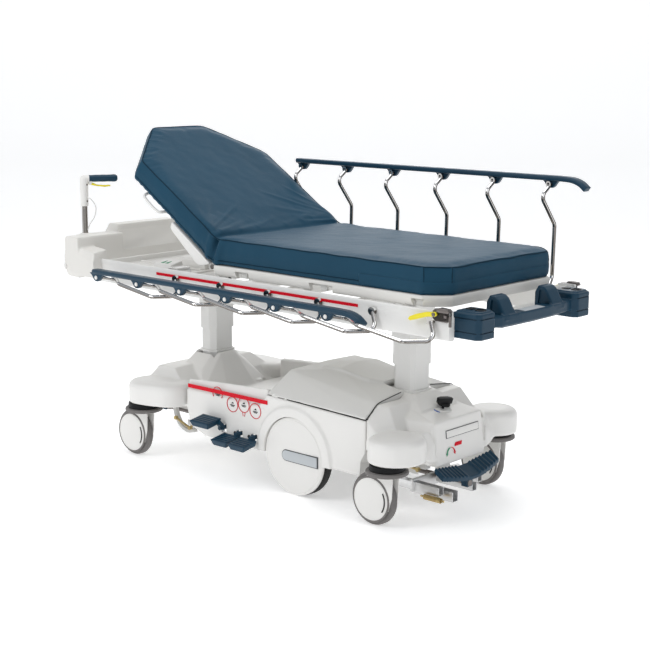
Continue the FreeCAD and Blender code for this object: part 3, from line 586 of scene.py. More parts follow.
def camera():
    """Eye-level three-quarter view from the foot end's right corner."""
    azimuth, elevation, roll = math.radians(42.4), math.radians(10.87), math.radians(0.22)
    distance, target = 5.587, Vector((0.0649, 0, 0.6294))
    back = Vector((math.sin(azimuth) * math.cos(elevation), -math.cos(azimuth) * math.cos(elevation),
                   math.sin(elevation)))
    level = Vector((math.cos(azimuth), math.sin(azimuth), 0))
    upright = back.cross(level)
    right = level * math.cos(roll) + upright * math.sin(roll)
    up = -level * math.sin(roll) + upright * math.cos(roll)
    lens = bpy.data.cameras.new("view")
    lens.sensor_width = 36
    lens.lens = 76.0
    eye = bpy.data.objects.new("view", lens)
    place = target + back * distance
    eye.matrix_world = Matrix((
        (right.x, up.x, back.x, place.x), (right.y, up.y, back.y, place.y), (right.z, up.z, back.z, place.z),
        (0, 0, 0, 1)))
    bpy.context.scene.collection.objects.link(eye)
    bpy.context.scene.camera = eye
    bpy.context.scene.view_settings.view_transform = "Standard"


studio()
camera()


# ---- base covers ----------------------------------------------------------------------------------
def both(points):
    """The points, and the same points on the other side."""
    return [(x, side * y, z) for x, y, z in points for side in SIDES]


def on_side(side, points):
    """The points moved to one side."""
    return [(x, side * y, z) for x, y, z in points]


def horn(x, side, back_x, low=246):
    """Domed cap over one castor, running back into the hood."""
    points = []
    for radius, z in ((99, low), (99, 316), (94, 329), (82, 337), (55, 342)):
        for i in range(36):
            angle = 2 * math.pi * i / 36
            across, along = radius * math.cos(angle), radius * math.sin(angle)
            points.append((x + across, side * 304 + along, z))
            points.append((back_x + across * 0.95, side * 288 + along * 0.95, z + 4))
    return hull("horn", points)


def head_hood():
    """Head-end hood: side walls, rounded shoulders, the column's flared seat and the sunken tray."""
    wall = [(-30, 145), (-337, 145), (-429, 177), (-450, 256), (-448, 330), (18, 330)]
    blocks = [prism("wall", wall, "y", *span(side, 262, 299)) for side in SIDES]
    blocks += [hull("upper_wall", on_side(side, [(-448, 299, 300), (-448, 262, 300), (18, 299, 300),
            (18, 262, 300), (-446, 284, 372), (-446, 262, 366), (-356, 282, 380), (-356, 260, 374),
            (18, 280, 402), (18, 258, 396)])) for side in SIDES]
    blocks += [prism("body", [(-30, 145), (-337, 145), (-429, 177), (-450, 256), (-448, 288), (-30, 288)],
                     "y", -299, 299),
               hull("shoulder", both([(-735, 300, 256), (-452, 299, 256), (-612, 190, 388),
                                      (-600, 230, 386), (-520, 262, 340), (-540, 180, 340),
                                      (-708, 226, 382), (-716, 170, 382), (-730, 268, 330)])),
               hull("seat", both([(-640, 62, 437), (-540, 62, 437), (-513, 40, 437), (-655, 140, 372),
                                  (-530, 140, 372), (-480, 70, 372), (-425, 84, 290), (-468, 190, 290),
                                  (-655, 200, 290)])),
               hull("nose", both([(-736, 150, 200), (-736, 150, 300), (-440, 150, 200), (-440, 150, 300)]))]
    blocks += [horn(-665, side, -556) for side in SIDES]
    cover = softened(joined("head_hood_shell", blocks), 4.0, 5)
    cavity = [prism("walls", [(-20, 130), (-345, 130), (-424, 170), (-442, 250), (-430, 276), (-36, 276)],
                    "y", -290, 290),
              hull("shoulder", both([(-726, 288, 240), (-460, 288, 240), (-560, 200, 340),
                                     (-690, 200, 366)])),
              hull("seat", both([(-632, 52, 428), (-524, 52, 428), (-460, 64, 300), (-632, 120, 300)])),
              hull("nose", both([(-728, 143, 180), (-728, 143, 300), (-440, 143, 180), (-440, 143, 300)])),
              block("floor", -445, 40, -110, 110, 120, 243)]
    for side in SIDES:
        cavity.append(turned("horn", [(0, 0), (92, 0), (92, 82), (74, 90), (0, 90)],
                             (-665, side * 304, 240), (0, 0, 1)))
        cavity.append(turned("horn", [(0, 0), (84, 0), (84, 70), (0, 70)], (-560, side * 290, 240),
                             (0, 0, 1)))
    inside = softened(joined("head_hood_inside", cavity), 7.0, 0)
    column = block("column_cut", HEAD_X - 56, HEAD_X + 56, -72, 72, 400, 460)
    slots = []
    for side in SIDES:
        low, high = span(side, 285, 330)
        for x, z in PEDAL_SHAFTS:
            slots.append(block("slot", x - 15, x + 15, low, high, z - 22, z + 13))
    boolean(cover, [inside, column, *slots])
    finished(cover, "base", WHITE, ["head_hood"], angle=None)


def middle_housing():
    """Wall below the lid with a raised ring round each wheel opening."""
    outline = [(-24, 150), (542, 150), (542, 254), (542, 367), (26, 381), (-24, 331)]
    blocks = [prism("wall", outline, "y", -298, 298)]
    for side in SIDES:
        ring = [(0, 0), (196, 0), (200, 3), (200, 8), (194, 14), (0, 14)]
        arch = turned("arch", ring, (WHEEL_X, side * 294, WHEEL_Z), (0, side, 0), 96)
        skirt = block("skirt", -25, 375, *span(side, 294, 308), 150, 162)
        blocks += [arch, skirt]
    body = joined("housing", blocks)
    body = softened(body, 4.0, 4)
    opening = [(0, 0), (159, 0), (159, 62), (166, 64), (166, 636), (159, 638), (159, 700), (0, 700)]
    cuts = [block("below", -60, 560, -340, 340, -60, 151),
            turned("wheel", opening, (WHEEL_X, -350, WHEEL_Z), (0, 1, 0), 96),
            block("top", -60, 25, -340, 340, 383, 460)]
    boolean(body, cuts)
    inside = prism("inside", [(-16, 100), (470, 100), (534, 256), (534, 420), (26, 420), (-16, 322)], "y",
                   -290, 290)
    gap = prism("foot_gap", [(512, 100), (600, 100), (600, 256), (548, 256), (520, 210)], "y", -340, 340)
    end = block("end", -60, -10, -286, 286, 100, 420)
    passage = block("passage", FOOT_X - 64, 600, -70, 70, 90, 470)
    boolean(body, [inside, gap, end, passage])
    body.name = "drive_housing_shell"
    finished(body, "base", WHITE, ["drive_housing"], angle=50)


def lid():
    """Grey lid over the drive: low shoulders, a steep head-end facet and a crowned, raised top."""
    rim = [(24, 297, 385), (539, 294, 371), (24, 297, 388), (539, 294, 375)]
    shoulder = [(24, 246, 404), (539, 226, 422)]
    crown = [(56, 196, 474), (84, 20, 487), (250, 110, 490), (250, 20, 498), (470, 20, 462), (539, 84, 446)]
    outer = hull("lid", both(rim + shoulder + crown))
    panel = hull("panel", both([(150, 128, 478), (162, 118, 493), (250, 116, 498), (250, 20, 506),
                                (455, 60, 468), (470, 70, 455), (400, 116, 466), (400, 108, 476),
                                (170, 20, 502)]))
    body = softened(joined("lid_shell", [outer, panel]), 4.0, 10)
    inside = hull("inside", both([(32, 290, 360), (533, 288, 360), (64, 190, 462), (250, 20, 486),
                                  (530, 76, 432), (36, 240, 392), (530, 220, 410)]))
    well = block("well", FOOT_X - 58, 580, -62, 62, 350, 520)
    mouth = block("mouth", FOOT_X - 74, 580, -79, 79, 447, 520)
    boolean(body, [inside, well, mouth])
    finished(body, "base", GREY, ["drive_lid"], angle=None)
    screws = []
    for side in SIDES:
        screws.append(turned("screw", [(0, 0), (7, 0), (7, 2), (5, 3.4), (2.4, 3.4), (2.4, 1.6), (0, 1.6)],
                             (492, side * 204, 427.5), (0.08, side * 0.17, 1), 24))
    finished(joined("lid_screws", screws), "base", STEEL)
    seam = []
    for side in SIDES:
        seam.append(swept("seam", smooth_path([(541.5, side * 296, 371), (541.5, side * 262, 396),
                (541.5, side * 228, 422), (541.5, side * 160, 434), (541.5, side * 92, 443)], steps=4),
                          ring_section(1.8, 8)))
    finished(joined("lid_seam", seam), "base", BLACK, angle=None)


def foot_hood():
    """Foot-end hood: sloping control panel, cheeks, castor domes and the seat round the column."""
    outer = both([(544, 297, 256), (544, 294, 371), (544, 231, 422), (592, 222, 418), (660, 282, 256),
                  (650, 244, 338)])
    panel = both([(560, 116, 401), (577, 120, 401), (749, 145, 367), (768, 150, 201), (560, 150, 201)])
    cheek = both([(590, 122, 396), (738, 145, 366), (752, 196, 256), (756, 190, 214), (600, 205, 256),
                  (600, 178, 372)])
    seat = both([(448, 68, 438), (592, 68, 438), (545, 126, 404), (660, 112, 390), (545, 60, 380)])
    blocks = [hull("outer", outer), hull("panel", panel), hull("cheek", cheek), hull("seat", seat)]
    blocks += [horn(688, side, 706) for side in SIDES]
    blocks += [hull("web", on_side(side, [(700, 296, 262), (700, 290, 318), (690, 230, 344),
                                          (742, 168, 344), (764, 158, 300), (768, 152, 222),
                                          (770, 186, 232), (752, 240, 246), (640, 230, 256)]))
               for side in SIDES]
    body = softened(joined("foot_hood_shell", blocks), 4.0, 6)
    inside = softened(joined("foot_inside",
                             [hull("outer", both([(530, 288, 240), (530, 286, 364), (530, 226, 410),
            (586, 216, 408), (652, 276, 240)])),
                              hull("panel", both([(540, 108, 390), (577, 112, 391), (742, 133, 358),
            (759, 140, 180), (540, 140, 180)])),
                              *[turned("horn", [(0, 0), (92, 0), (92, 72), (74, 80), (0, 80)],
                                       (688, side * 304, 250), (0, 0, 1)) for side in SIDES]]), 7.0, 0)
    well = block("well", 380, FOOT_X + 55, -60, 60, 180, 470)
    lid_side = block("lid_side", 380, 543, -330, 330, 100, 470)
    boolean(body, [inside, well, lid_side])
    finished(body, "base", WHITE, ["foot_hood"], angle=None)
    collar = boolean(softened(joined("foot_column_seat",
                                     [hull("seat", both([(454, 68, 439), (586, 68, 439), (436, 86, 426),
            (604, 86, 426), (436, 86, 400), (604, 86, 400)]))]), 3.0, 4),
                     [block("well", FOOT_X - 54, FOOT_X + 54, -59, 59, 380, 470)])
    finished(collar, "base", WHITE, angle=None)


def panel_point(x, y, lift=0.0):
    """A point on the foot hood's sloping panel."""
    slope = (367 - 401) / (749 - 577)
    return Vector((x, y, 401 + (x - 577) * slope)) + Vector((-slope, 0, 1)).normalized() * lift


def flat_ribbon(name, path, width, lift=1.2):
    """A thin printed mark that follows a path of points; `lift` is its thickness."""
    return swept(name, path, flat_section(width / 2, lift))


def arc(centre, radius, start, end, across, upward, steps=14):
    """Points of a circular arc in the plane of two directions; angles in degrees."""
    centre, across, upward = Vector(centre), Vector(across), Vector(upward)
    points = []
    for i in range(steps + 1):
        angle = math.radians(start + (end - start) * i / steps)
        points.append(centre + across * radius * math.cos(angle) + upward * radius * math.sin(angle))
    return points


def side_marks():
    """Red stripe and outlined pedal symbols on the head-end hood."""
    stripe, rings, marks = [], [], []
    for side in SIDES:
        y = side * 299.6
        stripe.append(swept("stripe", [(-437, y, 348), (30, y, 352)],
                            flat_section(1.1, 8)))
        for x, z, radius, start, end in ((-258, 341, 28, -32, 212), (-170, 311, 31, 0, 360),
                                         (-104, 320, 31, 0, 360), (-38, 306, 31, 0, 360)):
            path = arc((x, y, z), radius, start, end, (1, 0, 0), (0, 0, 1), 36)
            full = end - start == 360
            rings.append(swept("ring", path[:-1] if full else path, flat_section(1.3, 1.3),
                               closed=full, up=(0, 1, 0)))
            marks.append(block("bar", x - 13, x + 13, y - 0.9, y + 0.9, z - 4, z - 1))
            marks.append(block("bar", x - 9, x + 9, y - 0.9, y + 0.9, z - 8.5, z - 6))
            marks.append(hull("pedal", [(x - 7, y + t, z + 4) for t in (-0.9, 0.9)] + [(x + 7, y + t, z + 4)
                              for t in (-0.9, 0.9)] + [(x + 2, y + t, z + 11) for t in (-0.9, 0.9)]))
        for x, tip in ((-112, -108), (-96, -100)):
            rings.append(swept("tail", [(x, y, 291), (tip, y, 272)], ring_section(1.3, 6)))
    finished(joined("side_stripe", stripe), "base", RED)
    finished(joined("pedal_outlines", rings), "base", RED, angle=None)
    finished(joined("pedal_symbols", marks), "base", BLACK)
    holes = []
    for side in SIDES:
        for x, z in ((-156, 193), (-75, 193)):
            holes.append(turned("hole", [(0, 0), (8, 0), (8, 2.4), (0, 2.4)], (x, side * 298, z),
                                (0, side, 0), 24))
    finished(joined("pedal_stops", holes), "base", BLACK)


def panel_marks():
    """Dial ring, coloured arcs and the blank label on the foot-end panel."""
    slope_x = (panel_point(700, 0) - panel_point(600, 0)).normalized()
    centre = panel_point(672, 6)
    normal = Vector((-slope_x.z, 0, slope_x.x))
    ring = turned("dial_ring", [(0, 0), (33, 0), (33, 2), (30, 4.6), (26, 4.6), (24, 2.6), (0, 2.6)],
                  centre, normal, 48)
    pointer = hull("pointer", [centre + slope_x * a + Vector((0, b, 0)) + normal * c
                               for a, b, c in ((-40, -46, 0), (-40, -40, 0), (-32, -43, 0), (-40, -46, 2),
            (-40, -40, 2), (-32, -43, 2))])
    finished(joined("selector_bezel", [ring, pointer]), "base", GREY)
    lift = normal * 0.8
    for name, material, start, end in (("dial_green", GREEN, 205, 262), ("dial_blue", MARK_BLUE, 140, 200)):
        path = [p + lift for p in arc(centre, 43, start + 20, end + 20, (0, 1, 0), slope_x, 12)]
        finished(flat_ribbon(name, path, 5.5), "base", material)
    corners = [(-84, 299), (118, 299), (118, 329), (-84, 329)]
    edge = hull("panel_label_edge", [face_point(y, z, t) for y, z in corners for t in (-1.5, 1.2)])
    plate = hull("panel_label", [face_point(y + (2.2 if y < 0 else -2.2), z + (2.2 if z < 310 else -2.2), t)
                                 for y, z in corners for t in (-1.5, 1.8)])
    finished(edge, "base", LABEL_EDGE, bevel=0.5)
    finished(plate, "base", WHITE, bevel=0.4)


def face_point(y, z, lift=0.0):
    """A point on the steep face below the panel."""
    share = (z - 201) / (367 - 201)
    return Vector((768.5 - 18 * share + lift, y, z))


def face_marks():
    """Direction arrows and the red tab low on the foot-end face."""
    for name, material, start, end in (("arrow_green", GREEN, 100, 172), ("arrow_red", RED, 80, 8)):
        centre = face_point(-62, 240, 0.6)
        path = arc(centre, 23, start, end, (0, 1, 0), (-0.1, 0, 0.995), 12)
        last, before = path[-1], path[-3]
        along = (last - before).normalized()
        normal = Vector((1, 0, 0.1))
        side = along.cross(normal).normalized()
        head = hull("tip", [last + side * s + normal * t for s in (-6.5, 6.5) for t in (-0.8, 0.8)]
                    + [last + along * 11 + normal * t for t in (-0.8, 0.8)])
        ribbon = swept("arc", path, flat_section(1, 3), up=(1, 0, 0.1))
        finished(joined(name, [ribbon, head]), "base", material)
    tab = hull("tab", [face_point(y, z, t) for y, z in ((-34, 262), (6, 262), (-30, 276), (10, 276),
            (-37, 266)) for t in (-1, 1.2)])
    tab.name = "face_tab"
    finished(tab, "base", RED, bevel=0.5)


def hubcaps():
    """Domed cover disc of each middle wheel, with its groove and a blank plate."""
    for side, which in ((-1, "right"), (1, "left")):
        profile = [(0, 0), (153, 0), (156.5, 3), (156.5, 9), (154, 12), (148, 13.4), (147, 12.4),
                   (145.5, 12.4), (144, 13.8), (110, 15.8), (60, 17.2), (0, 17.8)]
        cap = turned("hubcap_" + which, profile, (WHEEL_X, side * 287, WHEEL_Z), (0, side, 0), 128)
        finished(cap, "drive_wheel", WHITE, angle=30)
        rim, plate = [], []
        for grow, depth, into in ((3.2, 19.2, rim), (0, 21.0, plate)):
            outline = [(304 + grow, WHEEL_Z + 20 + grow), (304 + grow, WHEEL_Z - 20 - grow)]
            for k in range(13):
                angle = math.radians(270 - 15 * k)
                outline.append((139 + (20 + grow) * math.cos(angle), WHEEL_Z + (20 + grow) * math.sin(angle)))
            if side > 0:
                outline = [(2 * WHEEL_X - x, z) for x, z in outline]
            into.append(prism("plate", outline, "y", *span(side, 290, 287 + depth)))
        rim[0].name = "hubcap_plate_edge_" + which
        plate[0].name = "hubcap_plate_" + which
        finished(rim[0], "drive_wheel", LABEL_EDGE, bevel=0.5)
        finished(plate[0], "drive_wheel", LABEL, bevel=0.5)


def castor_details():
    """Domed cheek covers with their rims and slots, the swivel bearings' rings, and a black ring above each
    bearing as painted shadow.
    """
    for corner, sx, sy in (("head_right", -1, -1), ("head_left", -1, 1), ("foot_right", 1, -1),
                           ("foot_left", 1, 1)):
        x, y = sx * CASTOR_X - CASTOR_TRAIL, sy * CASTOR_Y
        covers = []
        for side in SIDES:
            profile = [(0, 0), (82.5, 0), (84, 1.0), (84, 1.8), (82, 2.6), (80, 2.8), (79, 2.0),
                       (77.5, 2.0), (76.5, 3), (50, 4.4), (20, 5.2), (0, 5.4)]
            covers.append(turned("cover", profile, (x, y + side * 21.4, CASTOR_Z), (0, side, 0), 96))
        finished(joined("castor_cheeks_" + corner, covers), "fork_" + corner, WHITE, angle=30)
        rims = [turned("rim", [(79.5, 0), (86.5, 0), (87.5, 1.5), (87.5, 4), (85.5, 6), (81, 6), (79.5, 4.5)],
                       (x, y + side * 19, CASTOR_Z), (0, side, 0), 96) for side in SIDES]
        finished(joined("castor_rims_" + corner, rims), "fork_" + corner, RUBBER)
        slots = []
        for side in SIDES:
            path = arc((x, y + side * 24.6, CASTOR_Z), 68, -34, 30, (1, 0, 0), (0, 0, 1), 14)
            slots.append(swept("slot", path, flat_section(1.6, 3.6), up=(0, 1, 0)))
        finished(joined("castor_slots_" + corner, slots), "fork_" + corner, BLACK)
        ring = turned("castor_bearing_" + corner, [(50, 0), (76, 0), (80, 3), (80.5, 8), (79, 13), (74, 15),
                (50, 15)], (sx * CASTOR_X, y, 205.5), (0, 0, 1), 96)
        finished(ring, "fork_" + corner, RUBBER)
        # Black ring where the swivel stem meets the mount: painted shadow of the bearing, not a real seal.
        shadow_ring = turned("castor_bearing_shadow_" + corner, [(53, 0), (66, 0), (68, 3), (66, 20), (53, 20)],
                      (sx * CASTOR_X, y, 221), (0, 0, 1), 64)
        finished(shadow_ring, "base", BLACK)


head_hood()
middle_housing()
lid()
foot_hood()
side_marks()
panel_marks()
face_marks()
hubcaps()
castor_details()


# ---- pedals ---------------------------------------------------------------------------------------
def ribbed_pad(name, x0, x1, y_in, y_out, z_in, z_out, thick, ribs, side):
    """A tread pad: rounded block with raised ribs across it, sloping down away from the trolley."""
    def level(y, drop=0.0):
        share = (y - y_in) / (y_out - y_in)
        return z_in + (z_out - z_in) * share - drop
    tuck = 10
    points = []
    for x in (x0, x1):
        for y in (y_in, y_out):
            points.append((x, y, level(y)))
            points.append((x + (tuck if x == x0 else -tuck), y - (8 if y == y_out else 0), level(y, thick)))
    pieces = [hull("pad", points)]
    for i in range(ribs):
        y = y_in + (y_out - y_in) * (0.16 + 0.72 * i / max(1, ribs - 1))
        pieces.append(hull("rib", [(x, y + dy, level(y, -dz)) for x in (x0 + 7, x1 - 7) for dy, dz in
                                   ((-5.5, -4), (5.5, -4), (-3.4, 2.6), (3.4, 2.6))]))
    pad = softened(joined(name, pieces), 2.2, 3)
    if side > 0:
        return pad
    other = mirrored(name, pad)
    bpy.data.objects.remove(pad)
    return other


def foot_pedals():
    """Pump and release pedals: ribbed pads with arms, on the shafts that cross the base."""
    pads = (("pump_pedal", -332, -220, 247, 233), ("release_pedal_head", -207, -114, 190, 176),
            ("release_pedal_foot", -106, -14, 190, 176))
    for (name, x0, x1, z_in, z_out), (x, z) in zip(pads, PEDAL_SHAFTS):
        pieces = [round_rod("shaft", (x, -326, z), (x, 326, z), 9)]
        for side in SIDES:
            pieces.append(ribbed_pad("pad", x0, x1, 314, 392, z_in, z_out, 24, 5, side))
            arm = [(a, side * y, h) for y, h in ((306, z - 13), (306, z + 12), (334, z_in - 24),
                    (330, z_in - 4)) for a in (x - 11, x + 11)]
            pieces.append(hull("arm", arm))
        body = joined(name + "_tread", pieces)
        finished(body, name, BLUE, [name], angle=38)


def butterfly_pedals():
    """Brake and steer pedals: a broad ribbed tread with two raised wings at each end of the shaft."""
    shafts = [round_rod("shaft", (-896, 0, BRAKE_Z), (790, 0, BRAKE_Z), 10)]
    pieces = []
    for inner, outward, depth in ((771, 1, 61), (-894, -1, 78)):
        def edge(y, far, drop=0.0):
            """A point of the tread's inner or outer edge."""
            share = min(1.0, abs(y) / 178)
            z = 184 + 22 * share ** 1.2 if not far else 152 + 28 * share ** 1.2
            reach = depth - 16 * share ** 3 if far else 6 * share ** 3
            return (inner + outward * reach, y, z - drop)
        blades = []
        stops = [-178, -168, -138, -100, -60, -26, 26, 60, 100, 138, 168, 178]
        for y0, y1 in zip(stops, stops[1:]):
            blades.append(hull("blade", [edge(y, far, drop) for y in (y0, y1) for far in (False, True)
                                         for drop in (0, 16)]))
        for k in range(-8, 9):
            y = k * 21
            if abs(y) < 26:
                continue
            ends = [Vector(edge(y + t, far, drop)) for t in (-4.6, 4.6) for far in (False, True)
                    for drop in (-5.0, 4.0)]
            blades.append(hull("rib", ends))
        pieces.append(softened(joined("wing", blades), 2.4, 3))
        middle = inner + outward * depth * 0.4
        pieces.append(hull("stem", [(middle + a, y, z) for a in (-14, 14)
                                    for y, z in ((-15, 106), (15, 106), (-22, 158), (22, 158))]))
        shafts.append(round_rod("end", (-896 if outward < 0 else 786, 0, BRAKE_Z),
                                (middle + outward * 16, 0, BRAKE_Z), 13))
    finished(joined("brake_treads", pieces), "brake_pedals", BLUE, ["brake_pedals"],
             angle=38)
    finished(joined("brake_shaft", shafts), "brake_pedals", STEEL)


def selector():
    """Black selector: round skirt with a waisted grip bar."""
    axis = Vector((0.26, 0, 0.966)).normalized()
    base = Vector((672, 6, 395)) + axis * 6
    skirt = turned("skirt", [(0, 0), (25, 0), (25.5, 2), (24, 8), (18, 12), (0, 12)], base, axis, 48)
    along = Vector((0.35, 0.94, 0))
    along = (along - axis * along.dot(axis)).normalized()
    side = axis.cross(along)
    grip = hull("grip", [base + along * a + side * b + axis * c
                         for a, b, c in [(s * p, t * q, h) for p, q, h in ((31, 8, 6), (34, 7, 28),
            (16, 12, 30), (16, 13, 6)) for s in SIDES for t in SIDES]])
    stem = round_rod("stem", base - axis * 24, base + axis * 2, 5.8)
    knob = joined("selector_grip", [skirt, bevelled_now(grip, 2.4), stem])
    finished(knob, "selector_knob", BLACK, ["selector_knob"])


# ---- litter ---------------------------------------------------------------------------------------
def deck():
    """Seat and leg platform: moulded skirt with strap recesses below the mattress, and the hinge caps."""
    outline = [(-196, -373), (856, -373), (939, -299), (939, 299), (856, 373), (-196, 373)]
    lower = [(-188, -366), (852, -366), (931, -294), (931, 294), (852, 366), (-188, 366)]
    body = hull("deck", [(x, y, 888.4) for x, y in outline] + [(x, y, 868) for x, y in outline]
                + [(x, y, 848) for x, y in lower])
    bevelled_now(body, 4)
    inside = hull("inside", [(x * 0.978, y * 0.965, z) for x, y in lower for z in (830, 866)])
    recesses = []
    for side in SIDES:
        for x0, x1 in ((-74, 4), (322, 442), (809, 862)):
            recesses.append(hull("recess", [(x, side * y, z) for y in (352, 390)
                                            for x, z in ((x0, 876), (x1, 876), (x1 - 12, 846), (x0 + 12, 846),
                                                         (x1 - 12, 820), (x0 + 12, 820))]))
    boolean(body, [inside, *recesses])
    body.name = "deck_skirt"
    pads = []
    for side in SIDES:
        for x in (-38, 382, 836):
            pads.append(block("pad", x - 16, x + 16, *span(side, 344, 356), 850, 872))
    finished(body, "litter", WARM, ["litter_deck"])
    finished(joined("deck_strap_blocks", pads), "litter", GREY, bevel=1.5)
    caps = []
    for side in SIDES:
        caps.append(turned("cap", [(0, 0), (9, 0), (9, 5), (6.5, 7), (2.2, 7), (2.2, 5.2), (0, 5.2)],
                           (HINGE_X, side * 352, HINGE_Z), (0, side, 0), 28))
    finished(joined("hinge_caps", caps), "litter", STEEL)


def litter_pan():
    """Pan between the side tubes at the head end, the cover over the column, the angle gauge and its bars."""
    rim = [(-925, -348), (-462, -348), (-462, 348), (-925, 348)]
    pan = hull("pan", [(x, y, z) for x, y in rim for z in (806.5, 815)])
    cut = hull("cut", [(x, y, z) for x, y, z in [(-905, s * 326, 818)
            for s in SIDES] + [(-482, s * 326, 818) for s in SIDES] + [(-895, s * 316, 810)
            for s in SIDES] + [(-492, s * 316, 810) for s in SIDES]])
    nest = (HEAD_X - 78, HEAD_X + 78, -140, 140)
    boolean(bevelled_now(pan, 2), [cut, block("opening", *nest, 790, 830)])
    pan.name = "litter_pan"
    cover = hull("cover", [(HEAD_X + s * x, t * y, z) for s in SIDES for t in SIDES
                           for x, y, z in ((82, 144, 812), (82, 144, 848), (74, 136, 857))])
    boolean(bevelled_now(cover, 3), [block("nest", *nest, 790, 853)])
    cover.name = "column_cover"
    finished(cover, "litter", WHITE)
    ribs = []
    for side in SIDES:
        ribs.append(block("rib", -890, -500, *span(side, 152, 164), 809, 819))
        ribs.append(block("lip", -922, -470, *span(side, 335, 346), 812, 832))
    ribs.append(block("cross", -915, -903, -330, 330, 812, 836))
    finished(pan, "litter", WHITE)
    finished(joined("litter_pan_ribs", ribs), "litter", WHITE, bevel=3)
    wedge = hull("gauge", [(-640, -318, 812), (-520, -318, 812), (-640, -232, 812), (-520, -232, 812),
                           (-632, -306, 846), (-528, -306, 846), (-632, -240, 860), (-528, -240, 860)])
    wedge.name = "gauge_housing"
    finished(wedge, "litter", WHITE, bevel=5)
    symbols = []
    for x in (-596, -570):
        symbols.append(hull("tri", [(x - 9, -292, 848.6 + t) for t in (0, 1.6)] + [(x + 9, -292, 848.6 + t)
                            for t in (0, 1.6)] + [(x + 2, -264, 854.6 + t) for t in (0, 1.6)]))
    finished(joined("gauge_marks", symbols), "litter", GREEN)
    bars = []
    for x in (-506, -493, -480, -467):
        bars.append(round_rod("bar", (x, -334, 838), (x, -256, 838), 4.8))
    bars.append(bevelled_now(block("bed", -514, -459, -336, -254, 812, 834), 1))
    finished(joined("gauge_bars", bars), "litter", ALUMINIUM)


def litter_trim():
    """Red stripe, top lips and small fasteners of the side tubes."""
    stripe, bolts = [], []
    for side in SIDES:
        y = side * 380.4
        stripe.append(swept("stripe", [(-532, y, 820.5), (572, y, 820.5)], flat_section(1.0, 5.5)))
        for x in (-728, 700):
            bolts.append(turned("bolt", [(0, 0), (4, 0), (4, 1.2), (0, 1.8)], (x, side * 379.8, 806),
                                (0, side, 0), 20))
        for i in range(POST_COUNT):
            bolts.append(turned("boss", [(0, 0), (9.5, 0), (9.5, 2), (7, 3.4), (0, 3.4)],
                                (POST_X - POST_PITCH * i, side * 392, POST_Z), (0, side, 0), 32))
    lips = []
    for side in SIDES:
        lip = [(371, 820), (379.6, 820), (379.6, 840), (378, 844.5), (375.3, 846), (372.4, 844.5), (371, 840)]
        lips.append(prism("lip", [(side * y, z) for y, z in lip], "x", -929, 984))
    finished(joined("litter_lips", lips), "litter", PAINT, bevel=0.8)
    finished(joined("litter_stripe", stripe), "litter", RED)
    finished(joined("litter_bolts", bolts), "litter", PAINT)


def head_housing():
    """Head-end housing: thick rounded wall, raised middle, and the blocks that hold the side tubes."""
    blocks = [hull("wall", both([(-1072, 424, 762), (-1088, 430, 800), (-1086, 427, 924), (-1078, 424, 933),
                                 (-1000, 426, 933), (-996, 428, 926), (-990, 426, 757),
                                 (-1066, 414, 757)])),
              hull("end", both([(-1100, 360, 762), (-1108, 360, 800), (-1106, 360, 922), (-1090, 360, 933),
                                (-1000, 360, 933), (-1000, 360, 757)])),
              hull("middle", both([(-1108, 190, 925), (-1102, 166, 967), (-1032, 168, 967),
                                   (-1027, 190, 925)])),
              hull("ledge", both([(-1027, 190, 880), (-1004, 190, 880), (-1027, 190, 800),
                                  (-1004, 190, 800)]))]
    for side in SIDES:
        blocks.append(hull("block", on_side(side, [
            (-1004, 426, 766), (-1004, 338, 766), (-1004, 426, 862), (-1004, 414, 886), (-1004, 338, 890),
            (-890, 426, 766), (-890, 338, 766), (-890, 426, 838), (-902, 412, 872), (-908, 338, 880)])))
        blocks.append(turned("boss", [(0, 0), (24, 0), (24, 36), (20, 40), (0, 40)],
                             (HANDLE_X, side * HANDLE_Y, 898), (0, 0, 1), 40))
    body = softened(joined("head_housing_shell", blocks), 3.6, 2)
    cuts = [hull("notch", [(x, y, z) for x, y, z in both([(-1027, 176, 859), (-986, 176, 859),
            (-1027, 176, 960), (-986, 176, 960)])])]
    for side in SIDES:
        cuts.append(turned("bore", [(0, 0), (13.6, 0), (13.6, 260), (0, 260)],
                           (HANDLE_X, side * HANDLE_Y, 780), (0, 0, 1), 40))
    inside = softened(joined("inside",
                             [hull("wall", both([(-1098, 418, 740), (-1100, 420, 915), (-1014, 412, 915),
            (-1014, 412, 740)]))]), 7.0, 0)
    boolean(inside,
            [turned("post", [(0, 0), (21, 0), (21, 300), (0, 300)], (HANDLE_X, side * HANDLE_Y, 700),
                    (0, 0, 1), 40) for side in SIDES])
    boolean(inside, [block("face", -1033, -990, -186, 186, 850, 960)])
    boolean(body, cuts + [inside])
    finished(body, "litter", WARM, ["head_housing"], angle=None)
    nubs = [turned("nub", [(0, 0), (11, 0), (13, 3), (13, 7), (8, 11), (0, 12)], (-1080, side * 424, 800),
                   (-0.5, side, 0), 32) for side in SIDES]
    finished(joined("housing_buffers", nubs), "litter", WHITE, angle=40)


